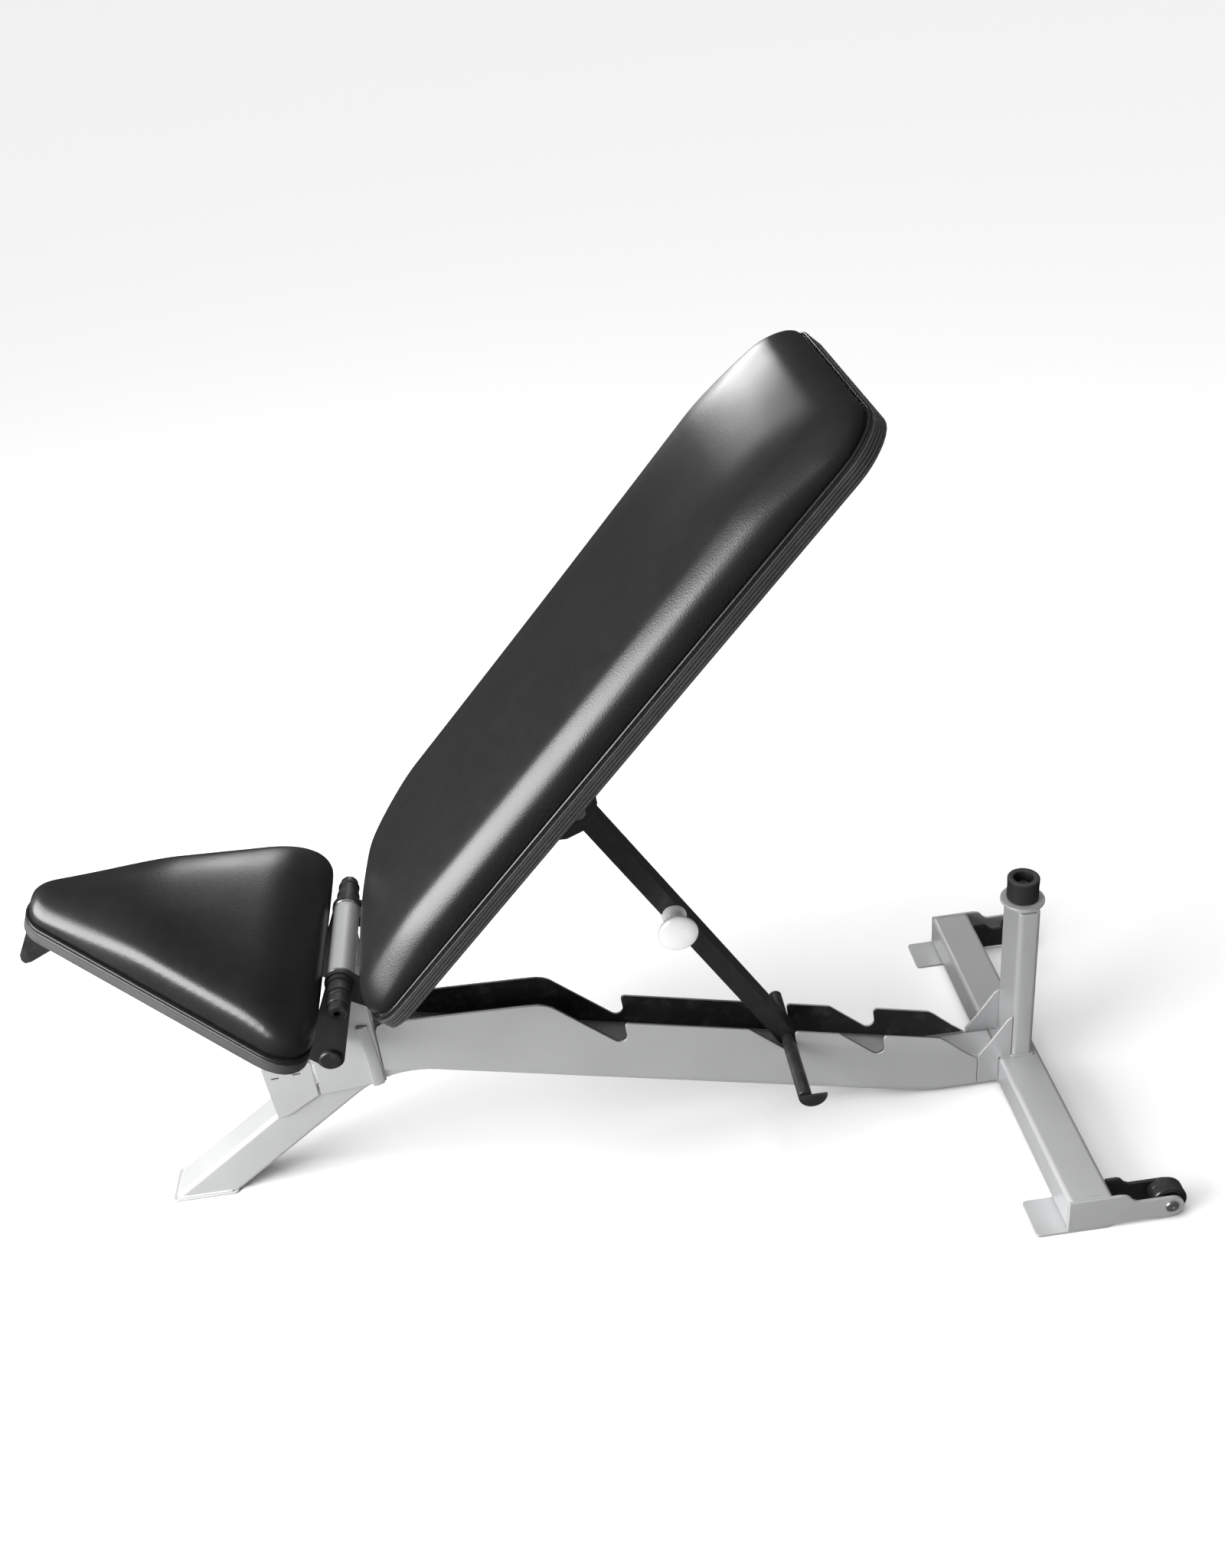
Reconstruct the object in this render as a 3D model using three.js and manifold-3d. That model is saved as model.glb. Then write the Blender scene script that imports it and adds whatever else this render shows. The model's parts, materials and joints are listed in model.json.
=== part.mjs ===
// Adjustable weight bench: a bent main tube with a notched prop ladder, a rear base with wheels,
// a padded seat and a padded backrest on one pivot, and a prop arm whose crossbar drops into the ladder.
// Millimetres. +X to the rear, +Y to the sitter's right, +Z up, the floor at Z = 0.
import * as THREE from "three";
import { mergeVertices } from "three/addons/utils/BufferGeometryUtils.js";
import Module from "manifold-3d";

// ---- driving dimensions ----
const ORIGIN_X = 57.6;            // moves the model so that X = 0 is the middle of its length
const GAP = 0.3;                  // space left between neighbouring pieces
const TUBE_HALF_W = 25.4;         // main tube, half of its width
const TUBE_HALF_D = 25.4;         // main tube, half of its depth
const TUBE_WALL = 2.5;
const LEG_START = [-587.6, 0];    // main tube centre line at the floor
const PEAK = [-325.6, 196];       // where the leg and spine centre lines meet
const SPINE_LOW = [359.5, 27];    // where the spine levels out
const SPINE_END = [448.6, 27];
const PEAK_RADIUS = 147;
const LOW_RADIUS = 110;
const LEG_CUT_Z = 3.3;

const LADDER_IN = 25.7;           // ladder and gusset plates, inner face
const LADDER_OUT = 28.9;
const BAR_R = 8.5;                // prop crossbar
const NOTCHES = [[-33.8, 172], [177, 119.6], [290, 92.5]];
const NOTCH_R = BAR_R + GAP;
const RAMP_ANGLE = 42.5;          // slope of the lead-in to each notch, degrees
const TOOTH_Z = 190;              // height of the tooth tops at TOOTH_X
const TOOTH_X = -20.8;
const TOOTH_SLOPE = -0.2455;

const PIVOT = [-345, 348];        // seat and backrest pivot axis
const PIVOT_TUBE_R = 15.5;
const SHAFT_R = 10;
const BACK_ANGLE = 47.2;          // backrest above the horizontal
const SEAT_ANGLE = 22.5;          // seat nose above the horizontal
const PAD_HALF_W = 182;
const BACK_START = 30;            // pad ends, measured from the pivot
const BACK_END = 858;
const BACK_UNDER = -48;           // underside of the board, below the pivot plane
const SEAT_START = 16.5;
const SEAT_END = 357;
const SEAT_UNDER = -46;
const SEAT_NOSE_HALF_W = 28;
const SEAT_REAR_HALF_W = 214;      // at the sharp corners, before they are rounded off

const ARM_TOP = [-51, 501];       // prop arm hinge
const ARM_HALF_W = 16;
const ARM_HALF_D = 11.5;
const ARM_PIN_R = 6;
const KNOB_ALONG = 192;           // from the hinge, along the arm

const STOP_BAR_R = 13;            // seat stop bar
const STOP_BAR = [-375, 247.3];

const BASE_X0 = 449;              // rear cross tube
const BASE_X1 = 502;
const BASE_Z0 = 3.6;
const BASE_Z1 = 48.4;
const BASE_HALF = 276;
const END_PLATE = 4;
const WHEEL = [571.5, 21.5];
const WHEEL_R = 21;
const WHEEL_Y = 264;
const WHEEL_HALF = 10.8;

const POST_X0 = 464.5;
const POST_X1 = 491.5;
const POST_HALF = 31;
const POST_TOP = 275;
const POST_MID = (POST_X0 + POST_X1) / 2;

// ---- materials ----
const silver = () => new THREE.MeshStandardMaterial({ color: 0xc9cbcd, roughness: 0.38, metalness: 0.35 });
const black = () => new THREE.MeshStandardMaterial({ color: 0x17181a, roughness: 0.42, metalness: 0.2 });
const zinc = () => new THREE.MeshStandardMaterial({ color: 0xb8babd, roughness: 0.28, metalness: 0.9 });
const polished = () => new THREE.MeshStandardMaterial({ color: 0xe6e7e8, roughness: 0.18, metalness: 0.85 });
const rubber = () => new THREE.MeshStandardMaterial({ color: 0x0e0e0f, roughness: 0.75, metalness: 0 });
const vinyl = () => new THREE.MeshStandardMaterial({ color: 0x1a1a1c, roughness: 0.45, metalness: 0 });
const moulded = () => new THREE.MeshStandardMaterial({ color: 0x232426, roughness: 0.5, metalness: 0 });

// ---- helpers ----
const rad = (d) => (d * Math.PI) / 180;

// Keeps positions only, merges shared vertices, drops slivers and turns the faces outwards.
function solid(geometry) {
  const g = geometry.index ? geometry : geometry.clone();
  for (const name of ["normal", "uv"]) g.deleteAttribute(name);
  const merged = mergeVertices(g, 1e-3);
  const p = merged.attributes.position;
  const index = [];
  let volume = 0;
  const a = new THREE.Vector3();
  const b = new THREE.Vector3();
  const c = new THREE.Vector3();
  for (let i = 0; i < merged.index.count; i += 3) {
    const t = [0, 1, 2].map((k) => merged.index.getX(i + k));
    if (t[0] === t[1] || t[1] === t[2] || t[0] === t[2]) continue;
    a.fromBufferAttribute(p, t[0]);
    b.fromBufferAttribute(p, t[1]);
    c.fromBufferAttribute(p, t[2]);
    volume += a.dot(b.cross(c));
    index.push(...t);
  }
  if (volume < 0) for (let i = 0; i < index.length; i += 3) [index[i], index[i + 1]] = [index[i + 1], index[i]];
  const out = new THREE.BufferGeometry();
  out.setAttribute("position", p);
  out.setIndex(index);
  out.computeVertexNormals();
  return out;
}

const shapeOf = (points, holes = []) => {
  const s = new THREE.Shape(points.map(([x, y]) => new THREE.Vector2(x, y)));
  for (const h of holes) s.holes.push(new THREE.Path(h.map(([x, y]) => new THREE.Vector2(x, y))));
  return s;
};

// A plate: an outline in X and Z with holes, from y0 to y1.
function plate(points, y0, y1, holes = []) {
  const g = new THREE.ExtrudeGeometry(shapeOf(points, holes), { depth: y1 - y0, bevelEnabled: false });
  g.rotateX(Math.PI / 2);
  g.translate(0, y1, 0);
  return solid(g);
}

// An upright piece: an outline in X and Y with holes, from z0 to z1.
function upright(points, z0, z1, holes = []) {
  const g = new THREE.ExtrudeGeometry(shapeOf(points, holes), { depth: z1 - z0, bevelEnabled: false });
  g.translate(0, 0, z0);
  return solid(g);
}

function arc(cx, cz, r, from, to, steps) {
  const out = [];
  for (let i = 0; i <= steps; i++) {
    const a = rad(from + ((to - from) * i) / steps);
    out.push([cx + r * Math.cos(a), cz + r * Math.sin(a)]);
  }
  return out;
}

const circle = (cx, cz, r, n = 24) => arc(cx, cz, r, 0, 360 - 360 / n, n - 1);

function roundedRect(x0, x1, y0, y1, r, steps = 3) {
  return [
    ...arc(x1 - r, y0 + r, r, -90, 0, steps), ...arc(x1 - r, y1 - r, r, 0, 90, steps),
    ...arc(x0 + r, y1 - r, r, 90, 180, steps), ...arc(x0 + r, y0 + r, r, 180, 270, steps),
  ];
}

// A round bar or ring along Y.
const rod = (cx, cz, r, y0, y1, bore = 0, n = 28) =>
  plate(circle(cx, cz, r, n), y0, y1, bore ? [circle(cx, cz, bore, n)] : []);

// A turned piece about the Y axis through (cx, cz), its profile in [radius, y].
function turned(profile, cx, cz, segments = 32) {
  const g = solid(new THREE.LatheGeometry(profile.map(([r, y]) => new THREE.Vector2(r, y)), segments));
  g.translate(cx, 0, cz);
  return g;
}

// A turned piece about the vertical through (cx, cy), its profile in [radius, z].
function turnedUp(profile, cx, cy, segments = 32) {
  const g = new THREE.LatheGeometry(profile.map(([r, z]) => new THREE.Vector2(r, z)), segments);
  g.rotateX(Math.PI / 2);
  const s = solid(g);
  s.translate(cx, cy, 0);
  return s;
}

// Joins loops of equal length, given from one end to the other, and closes both ends with a fan.
function loft(loops) {
  const n = loops[0].length;
  const pos = loops.flat(2);
  const index = [];
  for (let k = 0; k + 1 < loops.length; k++) {
    for (let i = 0; i < n; i++) {
      const j = (i + 1) % n;
      const [a, b, c, d] = [k * n + i, k * n + j, (k + 1) * n + j, (k + 1) * n + i];
      index.push(a, b, c, a, c, d);
    }
  }
  for (const [k, flip] of [[0, true], [loops.length - 1, false]]) {
    const centre = [0, 1, 2].map((m) => loops[k].reduce((s, p) => s + p[m], 0) / n);
    const ci = pos.length / 3;
    pos.push(...centre);
    for (let i = 0; i < n; i++) {
      const [a, b] = [k * n + i, k * n + ((i + 1) % n)];
      index.push(...(flip ? [ci, b, a] : [ci, a, b]));
    }
  }
  const g = new THREE.BufferGeometry();
  g.setAttribute("position", new THREE.Float32BufferAttribute(pos, 3));
  g.setIndex(index);
  return solid(g);
}

// A hollow tube with a rounded rectangular section, swept along stations [x, z, angle].
function sweptTube(stations, halfW, halfD, corner, wall, cutZ) {
  const outer = roundedRect(-halfW, halfW, -halfD, halfD, corner);
  const inner = roundedRect(-halfW + wall, halfW - wall, -halfD + wall, halfD - wall, corner - wall);
  const n = outer.length;
  const place = (section, [x, z, angle], first) => section.map(([y, d]) => {
    let px = x - d * Math.sin(angle);
    let pz = z + d * Math.cos(angle);
    if (first) {
      const t = (cutZ - pz) / Math.sin(angle);
      px += t * Math.cos(angle);
      pz = cutZ;
    }
    return [px, y, pz];
  });
  const rings = [];
  for (const section of [outer, inner]) rings.push(stations.map((s, i) => place(section, s, i === 0)));
  const pos = rings.flat(3);
  const m = stations.length;
  const at = (shell, k, i) => (shell * m + k) * n + (i % n);
  const index = [];
  const quad = (a, b, c, d) => index.push(a, b, c, a, c, d);
  for (let k = 0; k + 1 < m; k++) {
    for (let i = 0; i < n; i++) {
      quad(at(0, k, i), at(0, k, i + 1), at(0, k + 1, i + 1), at(0, k + 1, i));
      quad(at(1, k, i + 1), at(1, k, i), at(1, k + 1, i), at(1, k + 1, i + 1));
    }
  }
  for (let i = 0; i < n; i++) {
    quad(at(0, 0, i + 1), at(0, 0, i), at(1, 0, i), at(1, 0, i + 1));
    quad(at(0, m - 1, i), at(0, m - 1, i + 1), at(1, m - 1, i + 1), at(1, m - 1, i));
  }
  const g = new THREE.BufferGeometry();
  g.setAttribute("position", new THREE.Float32BufferAttribute(pos, 3));
  g.setIndex(index);
  return solid(g);
}

// Stations along a line with rounded bends.
function bentPath(points, radii, steps) {
  const dir = (a, b) => Math.atan2(b[1] - a[1], b[0] - a[0]);
  const out = [[...points[0], dir(points[0], points[1])]];
  for (let i = 1; i + 1 < points.length; i++) {
    const a0 = dir(points[i - 1], points[i]);
    const a1 = dir(points[i], points[i + 1]);
    const turn = a1 - a0;
    const r = radii[i - 1];
    const t = r * Math.tan(Math.abs(turn) / 2);
    const side = Math.sign(turn);
    const start = [points[i][0] - t * Math.cos(a0), points[i][1] - t * Math.sin(a0)];
    const centre = [start[0] - side * r * Math.sin(a0), start[1] + side * r * Math.cos(a0)];
    for (let k = 0; k <= steps[i - 1]; k++) {
      const a = a0 + (turn * k) / steps[i - 1];
      out.push([centre[0] + side * r * Math.sin(a), centre[1] - side * r * Math.cos(a), a]);
    }
  }
  const last = points.length - 1;
  out.push([...points[last], dir(points[last - 1], points[last])]);
  return out;
}

// The outline of a pad in its own plane: x from xa to xb, half widths wa and wb, corner radii ra and rb.
function padLoop(xa, xb, wa, wb, ra, rb, z, steps = 5) {
  const corners = [[xb, -wb], [xb, wb], [xa, wa], [xa, -wa]];
  const loop = [];
  corners.forEach((c, i) => {
    const r = i < 2 ? rb : ra;
    const p = corners[(i + 3) % 4];
    const q = corners[(i + 1) % 4];
    const u = new THREE.Vector2(p[0] - c[0], p[1] - c[1]).normalize();
    const v = new THREE.Vector2(q[0] - c[0], q[1] - c[1]).normalize();
    const half = u.angleTo(v) / 2;
    const t = r / Math.tan(half);
    const mid = u.clone().add(v).normalize().multiplyScalar(r / Math.sin(half));
    const centre = [c[0] + mid.x, c[1] + mid.y];
    const start = Math.atan2(c[1] + u.y * t - centre[1], c[0] + u.x * t - centre[0]);
    const sweep = Math.PI - 2 * half;
    for (let k = 0; k <= steps; k++) {
      const a = start + (sweep * k) / steps;
      loop.push([centre[0] + r * Math.cos(a), centre[1] + r * Math.sin(a), z]);
    }
  });
  return loop;
}

const root = new THREE.Group();
root.position.x = ORIGIN_X;

function put(parent, name, geometry, material) {
  const mesh = new THREE.Mesh(geometry, material);
  mesh.name = name;
  parent.add(mesh);
}

// Makes the left piece from y0 to y1 on the negative side and the right one as its mirror.
function pair(parent, name, y0, y1, make, material) {
  put(parent, `${name}_left`, make(-y1, -y0), material());
  put(parent, `${name}_right`, make(y0, y1), material());
}

// ---- main tube, foot and ladder ----
const mainPath = bentPath([LEG_START, PEAK, SPINE_LOW, SPINE_END], [PEAK_RADIUS, LOW_RADIUS], [10, 3]);
put(root, "main_tube", sweptTube(mainPath, TUBE_HALF_W, TUBE_HALF_D, 6, TUBE_WALL, LEG_CUT_Z), silver());
put(root, "front_foot_plate", upright(roundedRect(-629, -544, -29, 29, 6), 0, LEG_CUT_Z - GAP), silver());

const toothZ = (x) => TOOTH_Z + TOOTH_SLOPE * (x - TOOTH_X);

// One notch, walked from the rear tooth down the wall, round the seat and up the ramp.
function notch([cx, cz]) {
  const wall = arc(cx + 11.6, toothZ(cx + 13) - 3.6, 4, 80, 185, 4);
  const seat = arc(cx, cz, NOTCH_R, -5, -132.5, 8);
  return [...wall, ...seat];
}

function rampTop([cx, cz]) {
  const x = cx - NOTCH_R * Math.sin(rad(RAMP_ANGLE));
  const z = cz - NOTCH_R * Math.cos(rad(RAMP_ANGLE));
  const rise = Math.sin(rad(RAMP_ANGLE));
  const run = Math.cos(rad(RAMP_ANGLE));
  const t = (toothZ(x) - z) / (rise + TOOTH_SLOPE * run);
  return [x - run * t, z + rise * t];
}

const [n1, n2, n3] = NOTCHES;
const ladder = [
  [-327, 171], [-300, 168], [-262, 162], [-168.6, 141], [323, 19.8], [362, 12], [420, 10], [420, 50.5],
  [402.1, 65.2], [378.6, 87.7], [371, 93.6], [364, 95.6],
  ...notch(n3), rampTop(n3), ...notch(n2), rampTop(n2), ...notch(n1),
  [-112, 231.8], [-119, 235.6], [-128, 238.2], [-146, 239.4], [-261, 243], [-317, 244], [-324, 240], [-327, 233],
];
pair(root, "ladder_plate", LADDER_IN, LADDER_OUT, (a, b) => plate(ladder, a, b), silver);

// ---- tower and accessory receiver ----
const towerSide = [
  [-409.5, 147], [-341, 152], [-327.7, 155],
  ...arc(PIVOT[0], PIVOT[1], PIVOT_TUBE_R + GAP, -26, -150, 10),
  [-361.7, 238], [-365.7, 234], [-394, 234], [-397.5, 231], [-409.5, 205],
];
pair(root, "tower_side", TUBE_HALF_W + GAP, TUBE_HALF_W + GAP + 4, (a, b) => plate(towerSide, a, b), silver);
put(root, "tower_web", plate([[-331.7, 208], [-327.7, 208], [-327.7, 334], [-331.7, 331]], -25.4, 25.4), silver());

// The bevelled strip down each rear edge of the tower leans forwards towards its top.
function strip(side) {
  const section = [[-343, 30], [-329, 30], [-329, 31.2], [-337, 35], [-343, 35]];
  const loops = [];
  for (let k = 0; k <= 5; k++) {
    const z = 153 + (93 * k) / 5;
    const lean = -6 * (k / 5) ** 1.6;
    const loop = section.map(([x, y]) => [x + lean, side * y, z]);
    loops.push(side > 0 ? loop : loop.reverse());
  }
  return loft(loops);
}
put(root, "tower_strip_left", strip(-1), silver());
put(root, "tower_strip_right", strip(1), silver());

const receiverSide = [[-469.5, 118], [-453, 121], [-413, 146], [-413, 198.7], [-474, 198.7]];
pair(root, "receiver_side", TUBE_HALF_W + GAP, TUBE_HALF_W + GAP + 3.5, (a, b) => plate(receiverSide, a, b), silver);
put(root, "receiver_top", upright(roundedRect(-474, -413, -29.2, 29.2, 4), 199, 203), silver());

// ---- pivot ----
put(root, "pivot_tube", rod(...PIVOT, PIVOT_TUBE_R, -66, 66, SHAFT_R + GAP, 32), silver());
put(root, "pivot_shaft", rod(...PIVOT, SHAFT_R, -117.6, 117.6), zinc());
pair(root, "pivot_washer", 66.4, 69.4, (a, b) => rod(...PIVOT, 17.5, a, b, SHAFT_R + GAP), zinc);
pair(root, "pivot_spacer", 82.6, 98, (a, b) => rod(...PIVOT, 14, a, b, SHAFT_R + GAP), black);
pair(root, "pivot_collar", 98.4, 117.8, (a, b) => rod(...PIVOT, 13, a, b, SHAFT_R + GAP), black);
pair(root, "pivot_bolt_head", 118.2, 129, (a, b) => rod(...PIVOT, 11, a, b), black);

// ---- rear base ----
const baseOuter = roundedRect(BASE_X0, BASE_X1, BASE_Z0, BASE_Z1, 6);
const baseInner = roundedRect(BASE_X0 + 2.5, BASE_X1 - 2.5, BASE_Z0 + 2.5, BASE_Z1 - 2.5, 3.5);
put(root, "rear_cross_tube", plate(baseOuter, -BASE_HALF, BASE_HALF, [baseInner]), silver());

const forkEnd = [...arc(WHEEL[0], 20, 15, -90, 90, 10), [531, 35], [525, 38.5], [521, 44]];
const endPlate = [[449.5, BASE_Z0], [502, BASE_Z0], [503.5, 5], ...forkEnd, [517, 47], [510, 48.4], [449.5, 48.4]];
const axleHole = [circle(...WHEEL, 4.3, 20)];
pair(root, "end_plate", BASE_HALF + GAP, BASE_HALF + GAP + END_PLATE, (a, b) => plate(endPlate, a, b, axleHole), silver);
const forkInner = [[502.4, 5], ...forkEnd, [516, 46], [502.4, 46]];
pair(root, "fork_inner", 248, 252, (a, b) => plate(forkInner, a, b, axleHole), black);
pair(root, "rear_foot_plate", 226, 280.3, (a, b) => upright(roundedRect(413, BASE_X1, a, b, 5), 0, BASE_Z0 - GAP), silver);

// A wheel: rounded tread, dished faces and a bored hub.
function wheel(y0, y1) {
  const m = (y0 + y1) / 2;
  const h = WHEEL_HALF;
  const half = [[4.3, h], [8, h], [8.6, h - 2.5], [14.5, h - 2.5], [15.5, h - 0.5], [18, h - 0.5], [20.2, h - 2.6]];
  const profile = [...half, [WHEEL_R, h - 6], [WHEEL_R, -h + 6], ...half.map(([r, y]) => [r, -y]).reverse(), half[0]];
  return turned(profile.map(([r, y]) => [r, y + m]), ...WHEEL, 40);
}
pair(root, "wheel", WHEEL_Y - WHEEL_HALF, WHEEL_Y + WHEEL_HALF, wheel, rubber);
pair(root, "wheel_axle", 244, 283.2, (a) => {
  const side = a < 0 ? -1 : 1;
  const profile = [[0, 244], [7, 244], [7, 247.6], [4, 247.6], [4, 280.7], [8, 280.7], [8, 281.8], [6, 283.2], [0, 283.2]];
  return turned(profile.map(([r, y]) => [r, side * y]), ...WHEEL, 24);
}, zinc);

// ---- rear post and bumper ----
put(root, "rear_post", upright(roundedRect(POST_X0, POST_X1, -POST_HALF, POST_HALF, 6), BASE_Z1 + GAP, POST_TOP,
  [roundedRect(POST_X0 + 2.5, POST_X1 - 2.5, -POST_HALF + 2.5, POST_HALF - 2.5, 3.5)]), silver());
const gusset = [[421, 11], [448.3, 11], [448.3, 48.8], [464.2, 48.8], [464.2, 114], [458, 110], [436, 76], [424, 60], [421, 55]];
pair(root, "post_gusset", LADDER_IN, LADDER_OUT, (a, b) => plate(gusset, a, b), silver);
put(root, "post_cap_plate", upright(circle(POST_MID, 0, 26.8, 40), POST_TOP + GAP, POST_TOP + 4,
  [circle(POST_MID, 0, 4.5, 20)]), silver());
const capTop = POST_TOP + 4 + GAP;
const bumper = [
  [4.6, capTop], [17.5, capTop], [19.5, capTop + 3], [19.5, capTop + 26], [17.7, capTop + 30], [14.5, capTop + 31.2],
  [12, capTop + 30], [11.5, capTop + 14], [4.6, capTop + 14], [4.6, capTop],
];
put(root, "bumper", turnedUp(bumper, POST_MID, 0), rubber());
const bumperBolt = [
  [0, 262], [4, 262], [4, capTop + 14.3], [9.5, capTop + 14.3], [9.5, capTop + 16], [6.5, capTop + 16.2],
  [6.5, capTop + 20.4], [0, capTop + 21],
];
put(root, "bumper_bolt", turnedUp(bumperBolt, POST_MID, 0, 24), zinc());

// ---- backrest: x runs up the pad from the pivot, z out of its face ----
const back = new THREE.Group();
back.position.set(PIVOT[0], 0, PIVOT[1]);
back.rotation.y = -rad(BACK_ANGLE);
root.add(back);

const slab = (levels) => loft(levels.map(([z, ...plan]) => padLoop(...plan, z)));
const evenPad = (levels, x0, x1, w) => levels.map(([z, i, iEnd, r]) => [z, x0 + iEnd, x1 - iEnd, w - i, w - i, r, r]);
put(back, "back_board", slab(evenPad([
  [BACK_UNDER, 2, 2, 32], [BACK_UNDER + 2, 0, 0, 34], [BACK_UNDER + 18, 0, 0, 34],
], BACK_START, BACK_END, PAD_HALF_W)), moulded());
put(back, "back_cushion", slab(evenPad([
  [-29.7, 1.5, 1.5, 33], [-20, 0.5, 0.5, 34], [-4, 2, 4, 40], [8, 6, 13, 46], [17, 14, 28, 52], [23, 26, 50, 58],
  [26, 44, 80, 64],
], BACK_START, BACK_END, PAD_HALF_W)), vinyl());

const frameTop = BACK_UNDER - 4.5;
const frameOuter = roundedRect(-25, 25, frameTop - 38, frameTop, 5);
const frameInner = roundedRect(-22.8, 22.8, frameTop - 35.8, frameTop - 2.2, 2.8);
const frameTube = (x0, x1) => {
  const g = new THREE.ExtrudeGeometry(shapeOf(frameOuter, [frameInner]), { depth: x1 - x0, bevelEnabled: false });
  g.rotateX(Math.PI / 2);
  g.rotateZ(Math.PI / 2);
  g.translate(x0, 0, 0);
  return solid(g);
};
put(back, "back_frame_tube", frameTube(70, 660), black());
const screwHoles = (xs, ys, r) => xs.flatMap((x) => ys.map((y) => circle(x, y, r, 12)));
put(back, "back_lower_plate", upright(roundedRect(60, 150, -104, 104, 8), frameTop + GAP, BACK_UNDER - GAP,
  screwHoles([105], [-90, 90], 4)), black());
const backHinge = [
  ...arc(0, 0, 18, 0, 200, 12), [-8, -62], [2, -74], [30, -84], [60, -86], [150, -74], [150, frameTop],
  [26, frameTop], [19, frameTop + 8],
];
pair(back, "back_hinge_plate", 69.8, 75.8, (a, b) => plate(backHinge, a, b, [circle(0, 0, SHAFT_R + GAP)]), black);

// ---- prop arm bracket on the backrest ----
const c = Math.cos(rad(BACK_ANGLE));
const s = Math.sin(rad(BACK_ANGLE));
const armDx = ARM_TOP[0] - PIVOT[0];
const armDz = ARM_TOP[1] - PIVOT[1];
const armLocal = [armDx * c + armDz * s, -armDx * s + armDz * c];
const bracketTop = frameTop - 38 - GAP;
const [ax, az] = armLocal;
const bracket = [
  [ax - 46, bracketTop], [ax - 43, az - 4], [ax - 36, az - 12], [ax - 17, az - 21], [ax + 4, az - 21],
  [ax + 22, az - 12], [ax + 38, az + 6], [ax + 43, bracketTop],
];
pair(back, "arm_bracket", 17, 21, (a, b) => plate(bracket, a, b, [circle(ax, az, ARM_PIN_R + GAP, 20)]), black);
const pin = [
  [0, -25], [8, -25], [9.5, -23.5], [9.5, -21.4], [ARM_PIN_R, -21.4], [ARM_PIN_R, 21.4], [9.5, 21.4], [9.5, 23.5],
  [8, 25], [0, 25],
];
put(back, "arm_pivot_pin", turned(pin, ax, az, 24), zinc());

// ---- prop arm: x runs down the arm from its hinge, z out of its upper face ----
const arm = new THREE.Group();
const armLength = Math.hypot(n2[0] - ARM_TOP[0], n2[1] - ARM_TOP[1]);
arm.position.set(ARM_TOP[0], 0, ARM_TOP[1]);
arm.rotation.y = -Math.atan2(n2[1] - ARM_TOP[1], n2[0] - ARM_TOP[0]);
root.add(arm);

const wasm = await Module();
wasm.setup();
const toManifold = (g) => new wasm.Manifold(new wasm.Mesh({
  numProp: 3,
  vertProperties: new Float32Array(g.attributes.position.array),
  triVerts: new Uint32Array(g.index.array),
}));
const armBody = plate([
  ...arc(armLength, 0, ARM_HALF_D, -90, 90, 10), ...arc(0, 0, ARM_HALF_D, 90, 270, 10),
], -ARM_HALF_W, ARM_HALF_W, [circle(0, 0, ARM_PIN_R + GAP, 20), circle(armLength, 0, NOTCH_R, 24)]);
const armHollow = solid(new THREE.BoxGeometry(armLength - 16, 2 * ARM_HALF_W - 4.6, 2 * ARM_HALF_D - 4.6));
armHollow.translate(12 + (armLength - 16) / 2, 0, 0);
const cut = toManifold(armBody).subtract(toManifold(armHollow)).getMesh();
const armTube = new THREE.BufferGeometry();
armTube.setAttribute("position", new THREE.Float32BufferAttribute(cut.vertProperties, 3));
armTube.setIndex(Array.from(cut.triVerts));
put(arm, "prop_arm_tube", solid(armTube), black());

put(arm, "crossbar", turned([[0, -122], [7.5, -122], [BAR_R, -121], [BAR_R, 69], [7.5, 70], [0, 70]], armLength, 0), black());
const lug = new THREE.Group();
lug.position.set(armLength, 0, 0);
lug.rotation.y = -arm.rotation.y;
arm.add(lug);
put(lug, "crossbar_lug", plate([...arc(9, 3, 18, 180, 360, 14)], -125.8, -122.3), black());

const stem = [[0, -46], [15, -46], [13, -40], [11.5, -32], [12, -24], [14.5, -18.5], [14.5, -16.3], [0, -16.3]];
put(arm, "knob_stem", turned(stem, KNOB_ALONG, 0), polished());
const cap = [[0, -60], [12, -59.6], [20, -57.6], [24, -53.5], [24, -50], [21.5, -47.4], [16, -46.3], [0, -46.3]];
put(arm, "knob_cap", turned(cap, KNOB_ALONG, 0, 40), polished());

// ---- seat: x runs to the rear from the pivot, z out of its face ----
const seat = new THREE.Group();
seat.position.set(PIVOT[0], 0, PIVOT[1]);
seat.rotation.y = rad(SEAT_ANGLE);
root.add(seat);

const seatPad = (levels) => levels.map(([z, iSide, iNose, iRear, rNose, rRear]) =>
  [z, -SEAT_END + iNose, -SEAT_START - iRear, SEAT_NOSE_HALF_W - iSide, SEAT_REAR_HALF_W - iSide, rNose, rRear]);
put(seat, "seat_board", slab(seatPad([
  [SEAT_UNDER, 2, 2, 5.5, 22, 60], [SEAT_UNDER + 2, 0, 0, 3.5, 24, 62], [SEAT_UNDER + 15, 0, 0, 3.5, 24, 62],
])), moulded());
put(seat, "seat_cushion", slab(seatPad([
  [-30.7, 1.5, 1.5, 5, 22, 60], [-20, 0.5, 0.5, 2, 24, 62], [-6, 1, 6, 1, 24, 64], [6, 4, 20, 8, 22, 66],
  [15, 9, 48, 22, 19, 66], [21, 17, 100, 42, 15, 60],
])), vinyl());
const seatPlateZ = SEAT_UNDER - 4.5;
put(seat, "seat_mount_plate", upright(roundedRect(-230, -34, -88, 88, 8), seatPlateZ + GAP, SEAT_UNDER - GAP,
  screwHoles([-200, -62], [-60, 60], 4)), black());

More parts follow.
